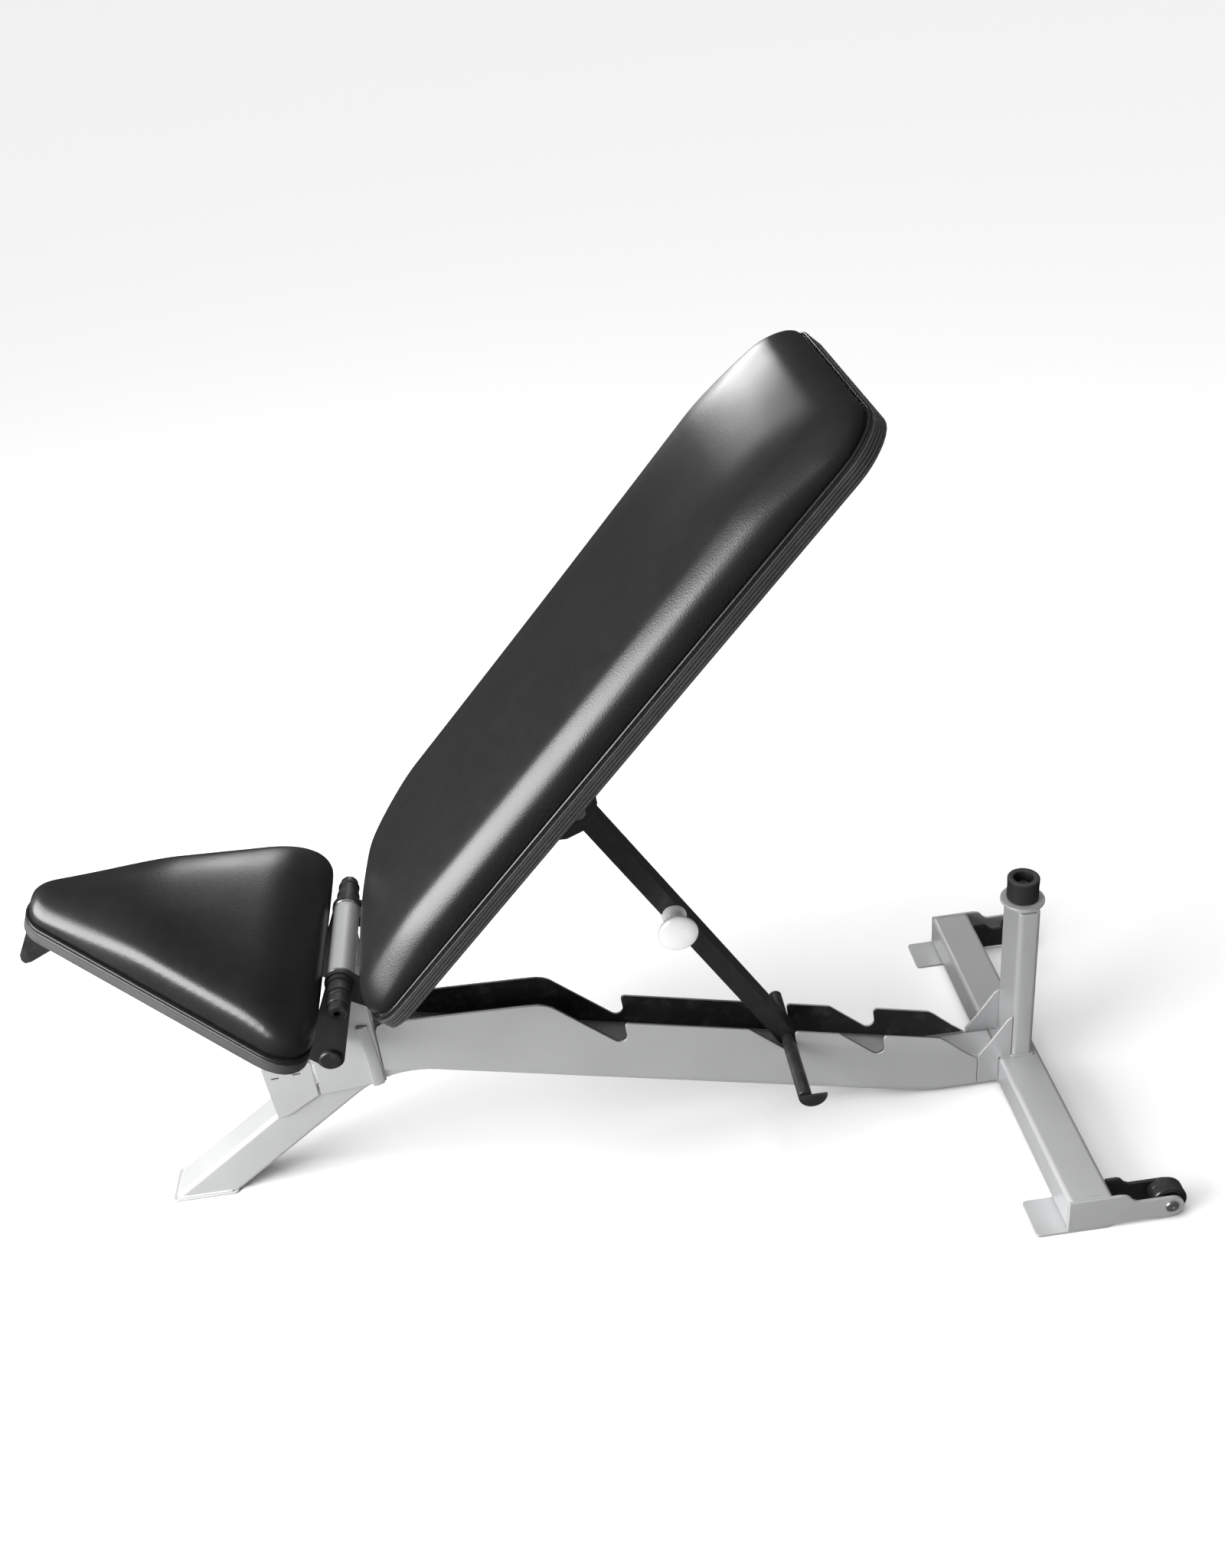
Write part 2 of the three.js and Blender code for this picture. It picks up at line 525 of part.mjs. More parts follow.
const sc = Math.cos(rad(SEAT_ANGLE));
const ss = Math.sin(rad(SEAT_ANGLE));
const barDx = STOP_BAR[0] - PIVOT[0];
const barDz = STOP_BAR[1] - PIVOT[1];
const barLocal = [barDx * sc - barDz * ss, barDx * ss + barDz * sc];
const seatHinge = [
  ...arc(0, 0, 15.5, 180, 0, 12), [17, -20], ...arc(...barLocal, 16.5, 0, -140, 10),
  [-66, -92], [-225, -60], [-225, seatPlateZ], [-16, seatPlateZ],
];
pair(seat, "seat_hinge_plate", 76.2, 82.2, (a, b) =>
  plate(seatHinge, a, b, [circle(0, 0, SHAFT_R + GAP), circle(...barLocal, STOP_BAR_R + GAP)]), black);
put(seat, "seat_stop_bar", turned([
  [0, -88], [11.5, -88], [STOP_BAR_R, -86.5], [STOP_BAR_R, 86.5], [11.5, 88], [0, 88],
], ...barLocal), black());
const tab = [[-296, -46.3], [-352, -46.3], [-356, -86], [-354, -93], [-349, -97], [-342, -93], [-323, -72]];
put(seat, "seat_front_tab", plate(tab, -14, 14), black());

export default root;
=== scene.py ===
import json
from math import cos, pi, radians, sin

import bmesh
import bpy
from mathutils import Matrix, Vector


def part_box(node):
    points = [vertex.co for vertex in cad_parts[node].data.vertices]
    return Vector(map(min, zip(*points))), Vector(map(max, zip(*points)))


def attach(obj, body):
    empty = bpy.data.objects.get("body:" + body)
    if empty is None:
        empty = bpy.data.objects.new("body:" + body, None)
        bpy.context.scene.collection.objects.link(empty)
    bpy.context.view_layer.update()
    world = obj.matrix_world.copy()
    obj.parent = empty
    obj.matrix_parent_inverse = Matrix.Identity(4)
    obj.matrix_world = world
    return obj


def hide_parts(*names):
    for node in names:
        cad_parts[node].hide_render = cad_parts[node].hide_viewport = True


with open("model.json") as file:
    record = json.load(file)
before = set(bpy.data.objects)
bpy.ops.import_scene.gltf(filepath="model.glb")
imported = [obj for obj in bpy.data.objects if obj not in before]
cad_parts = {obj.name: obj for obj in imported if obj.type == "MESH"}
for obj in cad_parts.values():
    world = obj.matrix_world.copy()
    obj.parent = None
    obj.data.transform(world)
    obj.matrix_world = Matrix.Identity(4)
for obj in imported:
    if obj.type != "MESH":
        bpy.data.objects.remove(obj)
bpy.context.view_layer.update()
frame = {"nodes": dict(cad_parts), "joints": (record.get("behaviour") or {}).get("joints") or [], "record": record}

bl_info = {
    "name": "Weight Bench Finish",
    "version": (1, 0, 0),
    "blender": (4, 5, 0),
    "location": "3D View > Sidebar > Bench",
    "description": "Upholstery, paint, fittings and studio for an adjustable weight bench",
    "category": "Object",
}

# ---- places taken from the frame, and the angles that the pads rest at ----
JOINTS = {joint["name"]: Vector(joint["pos_m"]) for joint in frame["joints"]}
PIVOT = JOINTS["back_hinge"]
BACK_ANGLE = radians(47.2)
SEAT_ANGLE = radians(22.5)
SIDES = {"left": -1, "right": 1}

# Pad frames: x runs along the pad, y across it and z out of its face, from the pivot axis.
BACK_FRAME = Matrix.Translation(PIVOT) @ Matrix.Rotation(-BACK_ANGLE, 4, "Y")
SEAT_FRAME = Matrix.Translation(PIVOT) @ Matrix.Rotation(SEAT_ANGLE, 4, "Y")

NEAR = 1e-6


def middle(node):
    """The centre of a CAD node's box."""
    low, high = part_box(node)
    return (Vector(low) + Vector(high)) / 2


# ---- properties ----
class BenchPadProperties(bpy.types.PropertyGroup):
    """Sizes of the upholstered pads."""

    voxel: bpy.props.FloatProperty(
        name="Voxel", description="Mesh size of the foam before it is blown up", default=0.0055,
        unit="LENGTH")
    pressure: bpy.props.FloatProperty(
        name="Foam pressure", description="Pressure that crowns the vinyl over the foam", default=4.0)
    swell: bpy.props.FloatProperty(
        name="Swell", description="Furthest that a point of the vinyl may move", default=0.007, unit="LENGTH")
    end_fall: bpy.props.FloatProperty(
        name="End fall", description="How far the crown drops at the ends", default=0.017, unit="LENGTH")
    welt: bpy.props.FloatProperty(
        name="Welt", description="Radius of the rolled edge above the tray", default=0.0018, unit="LENGTH")
    ribs: bpy.props.IntProperty(
        name="Ribs", description="Fine ribs round the edge of the backrest tray", default=4)
    vinyl: bpy.props.FloatVectorProperty(
        name="Vinyl", description="Colour of the vinyl", default=(0.009, 0.009, 0.0095), subtype="COLOR")


class BenchMetalProperties(bpy.types.PropertyGroup):
    """Paint and edge finish of the metal parts."""

    edge_round: bpy.props.FloatProperty(
        name="Edge round", description="Radius left on cut plate edges", default=0.0008, unit="LENGTH")
    silver: bpy.props.FloatVectorProperty(
        name="Silver", description="Colour of the silver paint", default=(0.57, 0.575, 0.58), subtype="COLOR")
    black: bpy.props.FloatVectorProperty(
        name="Black", description="Colour of the black powder coat", default=(0.017, 0.017, 0.018),
        subtype="COLOR")
    bead: bpy.props.FloatProperty(
        name="Weld bead", description="Radius of the weld beads", default=0.0021, unit="LENGTH")


class BenchStageProperties(bpy.types.PropertyGroup):
    """Floor, lights and camera."""

    floor: bpy.props.FloatVectorProperty(
        name="Floor", description="Colour of the floor", default=(0.88, 0.88, 0.88), subtype="COLOR")
    lens: bpy.props.FloatProperty(
        name="Lens", description="Focal length of the camera in millimetres", default=33.81)
    camera_place: bpy.props.FloatVectorProperty(
        name="Camera", description="Place of the camera", default=(-0.00652, -1.42309, 1.38556),
        unit="LENGTH")
    camera_yaw: bpy.props.FloatProperty(
        name="Yaw", description="Turn of the camera to the right of +Y", default=0.0400, subtype="ANGLE")
    camera_pitch: bpy.props.FloatProperty(
        name="Pitch", description="Tilt of the camera below the horizon", default=0.5467, subtype="ANGLE")
    camera_roll: bpy.props.FloatProperty(
        name="Roll", description="Roll of the camera about its own axis", default=-0.1124, subtype="ANGLE")


# ---- shader node groups ----
def socket_group(name, inputs, outputs):
    """A node group with named float or colour sockets, and its two end nodes."""
    group = bpy.data.node_groups.new(name, "ShaderNodeTree")
    kinds = {"FLOAT": "NodeSocketFloat", "COLOR": "NodeSocketColor", "VECTOR": "NodeSocketVector"}
    for label, kind, value in inputs:
        made = group.interface.new_socket(name=label, in_out="INPUT", socket_type=kinds[kind])
        if value is not None:
            made.default_value = value
    for label, kind in outputs:
        group.interface.new_socket(name=label, in_out="OUTPUT", socket_type=kinds[kind])
    return group, group.nodes.new("NodeGroupInput"), group.nodes.new("NodeGroupOutput")


def add(tree, kind, links=None, **settings):
    """A node with its settings, and its inputs given as values or as sockets to link."""
    node = tree.nodes.new(kind)
    for key, value in settings.items():
        setattr(node, key, value)
    for key, value in (links or {}).items():
        if isinstance(value, bpy.types.NodeSocket):
            tree.links.new(value, node.inputs[key])
        else:
            node.inputs[key].default_value = value
    return node


def grain_group():
    """Fine bumps of powder coat, moulding or leather: a height, and a patchy mask for colour and gloss."""
    group, start, end = socket_group(
        "surface_grain",
        [("Vector", "VECTOR", None), ("Grain Scale", "FLOAT", 900.0), ("Patch Scale", "FLOAT", 9.0),
         ("Cell Share", "FLOAT", 0.3)],
        [("Height", "FLOAT"), ("Patch", "FLOAT")])
    vector = start.outputs["Vector"]
    fine = add(group, "ShaderNodeTexNoise",
               {"Vector": vector, "Scale": start.outputs["Grain Scale"], "Detail": 3.0, "Roughness": 0.55})
    cell = add(group, "ShaderNodeTexVoronoi",
               {"Vector": vector, "Scale": start.outputs["Grain Scale"]}, feature="SMOOTH_F1")
    mixed = add(group, "ShaderNodeMix",
                {"Factor": start.outputs["Cell Share"], "A": fine.outputs["Fac"],
                 "B": cell.outputs["Distance"]})
    patch = add(group, "ShaderNodeTexNoise",
                {"Vector": vector, "Scale": start.outputs["Patch Scale"], "Detail": 4.0, "Roughness": 0.6})
    spread = add(group, "ShaderNodeMapRange",
                 {"Value": patch.outputs["Fac"], "From Min": 0.3, "From Max": 0.7})
    group.links.new(mixed.outputs["Result"], end.inputs["Height"])
    group.links.new(spread.outputs["Result"], end.inputs["Patch"])
    return group


DUST_COLOR = (0.55, 0.54, 0.52, 1)


def wear_group():
    """Colour and gloss of a painted or moulded surface: patches, rubbed edges and settled dust."""
    group, start, end = socket_group(
        "handled_wear",
        [("Vector", "VECTOR", None), ("Color", "COLOR", (0.5, 0.5, 0.5, 1)),
         ("Rubbed", "COLOR", (0.6, 0.6, 0.6, 1)), ("Patch", "FLOAT", 0.5), ("Roughness", "FLOAT", 0.4),
         ("Spread", "FLOAT", 0.1), ("Edge Wear", "FLOAT", 0.3), ("Dust", "FLOAT", 0.05)],
        [("Color", "COLOR"), ("Roughness", "FLOAT")])
    geometry = add(group, "ShaderNodeNewGeometry")
    edge = add(group, "ShaderNodeMapRange",
               {"Value": geometry.outputs["Pointiness"], "From Min": 0.53, "From Max": 0.60})
    speckle = add(group, "ShaderNodeTexNoise",
                  {"Vector": start.outputs["Vector"], "Scale": 55.0, "Detail": 5.0, "Roughness": 0.7})
    broken = add(group, "ShaderNodeMapRange",
                 {"Value": speckle.outputs["Fac"], "From Min": 0.50, "From Max": 0.72})
    worn = add(group, "ShaderNodeMath",
               {0: edge.outputs["Result"], 1: broken.outputs["Result"]}, operation="MULTIPLY")
    amount = add(group, "ShaderNodeMath",
                 {0: worn.outputs[0], 1: start.outputs["Edge Wear"]}, operation="MULTIPLY")
    shade = add(group, "ShaderNodeMapRange",
                {"Value": start.outputs["Patch"], "To Min": 0.94, "To Max": 1.05})
    tinted = add(group, "ShaderNodeVectorMath",
                 {0: start.outputs["Color"], 1: shade.outputs["Result"]}, operation="MULTIPLY")
    rubbed = add(group, "ShaderNodeMix",
                 {"Factor": amount.outputs[0], "A": tinted.outputs[0], "B": start.outputs["Rubbed"]},
                 data_type="RGBA")
    up = add(group, "ShaderNodeSeparateXYZ", {0: geometry.outputs["Normal"]})
    settled = add(group, "ShaderNodeMath",
                  {0: up.outputs["Z"], 1: start.outputs["Dust"]}, operation="MULTIPLY", use_clamp=True)
    dusted = add(group, "ShaderNodeMath",
                 {0: settled.outputs[0], 1: speckle.outputs["Fac"]}, operation="MULTIPLY")
    final = add(group, "ShaderNodeMix",
                {"Factor": dusted.outputs[0], "A": rubbed.outputs["Result"], "B": DUST_COLOR},
                data_type="RGBA")
    swing = add(group, "ShaderNodeMath",
                {0: start.outputs["Patch"], 1: start.outputs["Spread"], 2: start.outputs["Roughness"]},
                operation="MULTIPLY_ADD")
    rough = add(group, "ShaderNodeMath",
                {0: dusted.outputs[0], 1: 0.5, 2: swing.outputs[0]}, operation="MULTIPLY_ADD", use_clamp=True)
    group.links.new(final.outputs["Result"], end.inputs["Color"])
    group.links.new(rough.outputs[0], end.inputs["Roughness"])
    return group


GROUPS = {}


def shared_group(name, builder):
    """A node group that several materials use, built once."""
    if name not in GROUPS:
        GROUPS[name] = builder()
    return GROUPS[name]


def finish_material(name, color, rubbed, roughness, metallic=0.0, grain=900.0, cells=0.3, depth=0.0002,
                    strength=0.25, spread=0.1, wear=0.3, dust=0.05, patch=9.0, coat=0.0, specular=0.5):
    """A Principled material whose colour, roughness and bump come from the shared groups."""
    material = bpy.data.materials.new(name)
    material.use_nodes = True
    tree = material.node_tree
    shader = tree.nodes["Principled BSDF"]
    place = add(tree, "ShaderNodeTexCoord").outputs["Object"]
    texture = add(tree, "ShaderNodeGroup", node_tree=shared_group("grain", grain_group))
    for key, value in (("Grain Scale", grain), ("Patch Scale", patch), ("Cell Share", cells)):
        texture.inputs[key].default_value = value
    tree.links.new(place, texture.inputs["Vector"])
    handled = add(tree, "ShaderNodeGroup", node_tree=shared_group("wear", wear_group))
    values = {"Color": (*color, 1), "Rubbed": (*rubbed, 1), "Roughness": roughness, "Spread": spread,
              "Edge Wear": wear, "Dust": dust}
    for key, value in values.items():
        handled.inputs[key].default_value = value
    tree.links.new(place, handled.inputs["Vector"])
    tree.links.new(texture.outputs["Patch"], handled.inputs["Patch"])
    bump = add(tree, "ShaderNodeBump",
               {"Height": texture.outputs["Height"], "Strength": strength, "Distance": depth})
    tree.links.new(handled.outputs["Color"], shader.inputs["Base Color"])
    tree.links.new(handled.outputs["Roughness"], shader.inputs["Roughness"])
    tree.links.new(bump.outputs["Normal"], shader.inputs["Normal"])
    shader.inputs["Metallic"].default_value = metallic
    shader.inputs["Specular IOR Level"].default_value = specular
    shader.inputs["Coat Weight"].default_value = coat
    shader.inputs["Coat Roughness"].default_value = 0.18
    return material


MATERIALS = {}


def material_for(slot):
    """The material of a slot of the record, made once."""
    if slot in MATERIALS:
        return MATERIALS[slot]
    scene = bpy.context.scene
    silver, black = scene.bench_metal.silver, scene.bench_metal.black
    makers = {
        "silver_paint": lambda: finish_material(
            slot, silver, (0.52, 0.52, 0.53), 0.34, metallic=0.45, grain=1500, depth=0.00012, strength=0.30,
            spread=0.10, wear=0.25, dust=0.04, patch=5, coat=0.25),
        "black_powder_coat": lambda: finish_material(
            slot, black, (0.16, 0.16, 0.165), 0.36, grain=1300, depth=0.0002, strength=0.35, spread=0.12,
            wear=0.35, dust=0.05, coat=0.1),
        "zinc": lambda: finish_material(
            slot, (0.62, 0.63, 0.64), (0.75, 0.75, 0.76), 0.26, metallic=0.95, grain=700, depth=0.0001,
            strength=0.2, spread=0.14, wear=0.2, dust=0.03),
        # Polished aluminium gets a near-white base with little metallic: a painted reflection that stands in for
        # the bright shine of the polished knob.
        "polished_aluminium": lambda: finish_material(
            slot, (0.93, 0.93, 0.93), (0.95, 0.95, 0.95), 0.22, metallic=0.20, grain=500, depth=0.00006,
            strength=0.15, spread=0.08, wear=0.2, dust=0.02, coat=0.3),
        "moulded_pad_tray": lambda: finish_material(
            slot, (0.040, 0.040, 0.041), (0.085, 0.085, 0.087), 0.40, grain=1800, depth=0.0002, strength=0.35,
            spread=0.14, wear=0.5, dust=0.10),
        "vinyl": lambda: finish_material(
            slot, scene.bench_pads.vinyl, (0.028, 0.028, 0.029), 0.28, grain=620, cells=0.75, depth=0.0003,
            strength=0.42, spread=0.08, wear=0.15, dust=0.02, patch=6, specular=0.62),
        "bumper_rubber": lambda: finish_material(
            slot, (0.014, 0.014, 0.014), (0.04, 0.04, 0.04), 0.55, grain=1200, depth=0.0003, strength=0.4,
            spread=0.2, wear=0.4, dust=0.12),
        "wheel_urethane": lambda: finish_material(
            slot, (0.012, 0.012, 0.0125), (0.05, 0.05, 0.05), 0.16, grain=400, depth=0.0001, strength=0.12,
            spread=0.12, wear=0.4, dust=0.07, coat=0.4),
    }
    MATERIALS[slot] = makers[slot]()
    return MATERIALS[slot]


# ---- making and placing pieces ----
NODE_SLOTS = {row["node"]: row["material_slot"] for row in frame["record"]["subparts"]}
BODIES = frame["record"]["behaviour"]["bodies"]
NODE_BODY = {node: body for body, nodes in BODIES.items() for node in nodes}


def piece(name, bm, body, slot, place=None, smooth=35, nodes=(), weighted=True):
    """Ends a bmesh as a placed, shaded and finished piece that rides on a body."""
    if place is not None:
        bm.transform(place)
    mesh = bpy.data.meshes.new(name)
    bm.to_mesh(mesh)
    bm.free()
    mesh.shade_smooth()
    mesh.set_sharp_from_angle(angle=radians(smooth))
    made = bpy.data.objects.new(name, mesh)
    bpy.context.scene.collection.objects.link(made)
    mesh.materials.append(material_for(slot))
    if weighted:
        made.modifiers.new("face weighted normals", "WEIGHTED_NORMAL").keep_sharp = True
    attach(made, body)
    if nodes:
        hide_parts(*nodes)
    return made


def outward(bm):
    """Merges a closed shape's doubles and turns its faces out."""
    bmesh.ops.remove_doubles(bm, verts=bm.verts, dist=NEAR)
    bmesh.ops.recalc_face_normals(bm, faces=bm.faces)


def rounded(bm, edges, radius, segments=2, clamp=True):
    """Bevels edges to a round."""
    bmesh.ops.bevel(bm, geom=edges, offset=radius, offset_type="OFFSET", segments=segments, profile=0.5,
                    affect="EDGES", clamp_overlap=clamp, material=-1)


def node_copy(node):
    """A merged copy of a CAD node, with its flat faces made whole."""
    bm = bmesh.new()
    bm.from_mesh(frame["nodes"][node].data)
    bmesh.ops.remove_doubles(bm, verts=bm.verts, dist=2 * NEAR)
    bmesh.ops.dissolve_limit(bm, angle_limit=radians(0.6), verts=bm.verts, edges=bm.edges)
    return bm


def machined(node):
    """The CAD node's own shape with its cut edges rounded, which stands for the node."""
    bm = node_copy(node)
    corners = [e for e in bm.edges if len(e.link_faces) == 2 and e.calc_face_angle() > radians(38)]
    rounded(bm, corners, bpy.context.scene.bench_metal.edge_round)
    piece(f"{node}_finished", bm, NODE_BODY[node], NODE_SLOTS[node], nodes=[node])


def turned(profile, steps=48):
    """Spins a profile of (radius, height) points about the z axis, closed and facing out."""
    bm = bmesh.new()
    points = [bm.verts.new((radius, 0, height)) for radius, height in profile]
    edges = [bm.edges.new(pair) for pair in zip(points, points[1:])]
    bmesh.ops.spin(bm, geom=points + edges, cent=(0, 0, 0), axis=(0, 0, 1), angle=2 * pi, steps=steps,
                   use_merge=True, use_duplicate=False)
    outward(bm)
    return bm


def along_y(centre, side=1):
    """Places a turned piece on an axle: its z axis points to the given side along Y."""
    return Matrix.Translation(centre) @ Matrix.Rotation(-side * pi / 2, 4, "X")


def socket_head(radius, height, socket, depth):
    """A screw head with a hexagon socket, standing on z = 0."""
    round_sides, socket_sides = 36, 6
    rings = [(radius, 0, round_sides), (radius, height * 0.72, round_sides),
             (radius * 0.86, height, round_sides), (socket, height, socket_sides),
             (socket, height - depth, socket_sides)]
    bm = bmesh.new()
    loops = []
    for size, level, sides in rings:
        made = bmesh.ops.create_circle(bm, cap_ends=False, segments=sides, radius=size)
        bmesh.ops.translate(bm, verts=made["verts"], vec=(0, 0, level))
        loops.append(made["verts"])
    for lower, upper in zip(loops, loops[1:]):
        pair = {*lower, *upper}
        edges = [e for e in bm.edges if all(v in pair for v in e.verts) and len(e.link_faces) < 2]
        bmesh.ops.bridge_loops(bm, edges=edges)
    for loop in (loops[0], loops[-1]):
        bmesh.ops.contextual_create(bm, geom=list(loop))
    outward(bm)
    return bm


def merge_into(target, extra, place=Matrix.Identity(4)):
    """Adds a placed bmesh to another, so that like fittings make one piece."""
    extra.transform(place)
    mesh = bpy.data.meshes.new("fitting")
    extra.to_mesh(mesh)
    extra.free()
    target.from_mesh(mesh)
    bpy.data.meshes.remove(mesh)


# ---- upholstery ----
def plan_block(x0, x1, half0, half1, z0, z1, round0, round1):
    """A block with a tapered plan and rounded upright corners, the start of a pad or tray."""
    bm = bmesh.new()
    bmesh.ops.create_cube(bm, size=1)
    for v in bm.verts:
        rear = v.co.x > 0
        half = half1 if rear else half0
        v.co = Vector((x1 if rear else x0, half if v.co.y > 0 else -half, z1 if v.co.z > 0 else z0))
    for at_end, radius in ((x0, round0), (x1, round1)):
        uprights = [e for e in bm.edges
                    if all(abs(v.co.x - at_end) < NEAR for v in e.verts)
                    and abs(e.verts[0].co.z - e.verts[1].co.z) > 1e-3]
        rounded(bm, uprights, radius, segments=8, clamp=False)
    return bm


def rim_edges(bm, level):
    """The sharp edges round a block's face at one level."""
    return [e for e in bm.edges
            if all(abs(v.co.z - level) < NEAR for v in e.verts) and e.is_manifold
            and e.calc_face_angle() > radians(40)]


def evened(mesh, values, rounds):
    """Averages a value over each vertex and its neighbours, so that no wrinkle is left in it."""
    beside = [[] for _ in mesh.vertices]
    for edge in mesh.edges:
        one, other = edge.vertices
        beside[one].append(other)
        beside[other].append(one)
    for _ in range(rounds):
        values = [(value + sum(values[k] for k in near)) / (1 + len(near))
                  for value, near in zip(values, beside)]
    return values


HELD_HEIGHT = 0.012
SETTLE_FRAMES = 20
EVEN_ROUNDS = 40
SMOOTH_ROUNDS = 4


def blown_up(bm, bottom):
    """Remeshes a foam block evenly, and swells it as vinyl under pressure, held flat underneath."""
    pads = bpy.context.scene.bench_pads
    mesh = bpy.data.meshes.new("foam")
    bm.to_mesh(mesh)
    bm.free()
    foam = bpy.data.objects.new("foam", mesh)
    bpy.context.scene.collection.objects.link(foam)
    remesh = foam.modifiers.new("even mesh", "REMESH")
    remesh.mode = "VOXEL"
    remesh.voxel_size = pads.voxel
    graph = bpy.context.evaluated_depsgraph_get()
    even = bpy.data.meshes.new_from_object(foam.evaluated_get(graph))
    foam.modifiers.clear()
    foam.data = even
    rest = [v.co.copy() for v in even.vertices]
    held = foam.vertex_groups.new(name="held")
    for v in even.vertices:
        if v.co.z < bottom + HELD_HEIGHT:
            held.add([v.index], 1.0, "REPLACE")
    cloth = foam.modifiers.new("vinyl", "CLOTH")
    settings = cloth.settings
    settings.quality = 4
    settings.use_pressure = True
    settings.uniform_pressure_force = pads.pressure
    settings.vertex_group_mass = "held"
    settings.effector_weights.gravity = 0
    settings.tension_stiffness = 12
    settings.compression_stiffness = 12
    settings.bending_stiffness = 6
    cloth.point_cache.frame_start = 1
    cloth.point_cache.frame_end = SETTLE_FRAMES
    for step in range(1, SETTLE_FRAMES + 1):
        bpy.context.scene.frame_set(step)
    graph = bpy.context.evaluated_depsgraph_get()
    swollen = bpy.data.meshes.new_from_object(foam.evaluated_get(graph))
    foam.modifiers.clear()
    foam.data = swollen
    normals = [n.vector.copy() for n in even.vertex_normals]
    lift = [min(pads.swell, max(0.0, (v.co - start).dot(normal)))
            for v, start, normal in zip(swollen.vertices, rest, normals)]
    lift = evened(swollen, lift, EVEN_ROUNDS)
    for v, start, normal, out in zip(swollen.vertices, rest, normals, lift):
        v.co = start + normal * out
    bpy.context.scene.frame_set(1)
    result = bmesh.new()
    result.from_mesh(foam.data)
    bpy.data.objects.remove(foam)
    for _ in range(SMOOTH_ROUNDS):
        bmesh.ops.smooth_vert(result, verts=result.verts, factor=0.5, use_axis_x=True, use_axis_y=True,
                              use_axis_z=True)
    return result


def ease(t):
    """Runs smoothly from 0 to 1, and stays there outside."""
    t = min(1.0, max(0.0, t))
    return t * t * (3 - 2 * t)


def cover(node, bm, body, place):
    """Ends a blown-up pad as a soft vinyl piece that stands for the CAD cushion."""
    made = piece(f"{node}_vinyl", bm, body, "vinyl", place=place, smooth=180, nodes=[node], weighted=False)
    soft = made.modifiers.new("smooth skin", "SUBSURF")
    soft.levels = soft.render_levels = 1


def bent_bar(bm, points, radius, resolution, closed=False, swells=(1.0,)):
    """Adds a round bar bent along points, its width swelling by turns, as a ring or with capped ends."""
    data = bpy.data.curves.new("bent_bar", "CURVE")
    data.dimensions = "3D"
    data.bevel_depth = radius
    data.bevel_resolution = resolution
    data.use_fill_caps = not closed
    spline = data.splines.new("POLY")
    spline.points.add(len(points) - 1)
    spline.use_cyclic_u = closed
    for k, (point, co) in enumerate(zip(spline.points, points)):
        point.co = (*co, 1)
        point.radius = swells[k % len(swells)]
    holder = bpy.data.objects.new("bent_bar", data)
    bpy.context.scene.collection.objects.link(holder)
    graph = bpy.context.evaluated_depsgraph_get()
    bm.from_mesh(bpy.data.meshes.new_from_object(holder.evaluated_get(graph)))
    bpy.data.objects.remove(holder)


def welt(node, body, place, block, top, level):
    """A rolled vinyl edge at a level of a cushion, which follows the plan of a block."""
    bm = bmesh.new()
    ring = [(x, y, level) for x, y in outline_of(block, top)]
    bent_bar(bm, ring, bpy.context.scene.bench_pads.welt, resolution=4, closed=True)
    outward(bm)
    piece(f"{node}_welt", bm, body, "vinyl", place=place, smooth=60, weighted=False)
    block.free()


def outline_of(bm, level):
    """The plan of a block at one level, walked in order round its rim."""
    at_level = [v for v in bm.verts if abs(v.co.z - level) < NEAR]
    walk = [at_level[0]]
    while True:
        ahead = [e.other_vert(walk[-1]) for e in walk[-1].link_edges]
        ahead = [v for v in ahead if v in at_level and v not in walk]
        if not ahead:
            return [tuple(v.co.xy) for v in walk]
        walk.append(ahead[0])


# Plans of the trays: both ends along the pad, and the half width at each end.
BACK_PLAN = (0.030, 0.858, 0.182, 0.182)
SEAT_PLAN = (-0.357, -0.020, 0.028, 0.214)
SEAT_PAD_REAR = -0.0175
PAD_INSET = 0.003
WELT_INSET = 0.0015


def inset_plan(plan, inset):
    """A plan drawn in by an inset all round."""
    return plan[0] + inset, plan[1] - inset, plan[2] - inset, plan[3] - inset


class BENCH_OT_back_cushion(bpy.types.Operator):
    """Upholster the backrest: foam under vinyl, crowned, with a rolled lower edge"""

    bl_idname = "bench.back_cushion"
    bl_label = "Backrest cushion"

    def execute(self, context):
        pads = context.scene.bench_pads
        bottom, top, shoulder = -0.0297, 0.019, 0.037
        bm = plan_block(*inset_plan(BACK_PLAN, PAD_INSET), bottom, top, 0.052, 0.052)
        rounded(bm, rim_edges(bm, top), shoulder, segments=10)
        bm = blown_up(bm, bottom)
        x0, x1, half, _ = BACK_PLAN
        reach, crown, pinch = 0.15, 0.003, 0.010
        for v in bm.verts:
            height = ease((v.co.z - bottom) / (top - bottom))
            end = max(ease(1 - (v.co.x - x0) / reach), ease(1 - (x1 - v.co.x) / reach))
            side = (abs(v.co.y) / half) ** 2
            v.co.z -= height * pads.end_fall * end * (0.55 + 0.45 * side)
            v.co.z += height * crown * (1 - side)
            v.co.y *= 1 - pinch * height * end
        cover("back_cushion", bm, "backrest", BACK_FRAME)
        block = plan_block(*inset_plan(BACK_PLAN, WELT_INSET), bottom, top, 0.050, 0.050)
        welt("back_cushion", "backrest", BACK_FRAME, block, top, -0.0262)
        return {"FINISHED"}


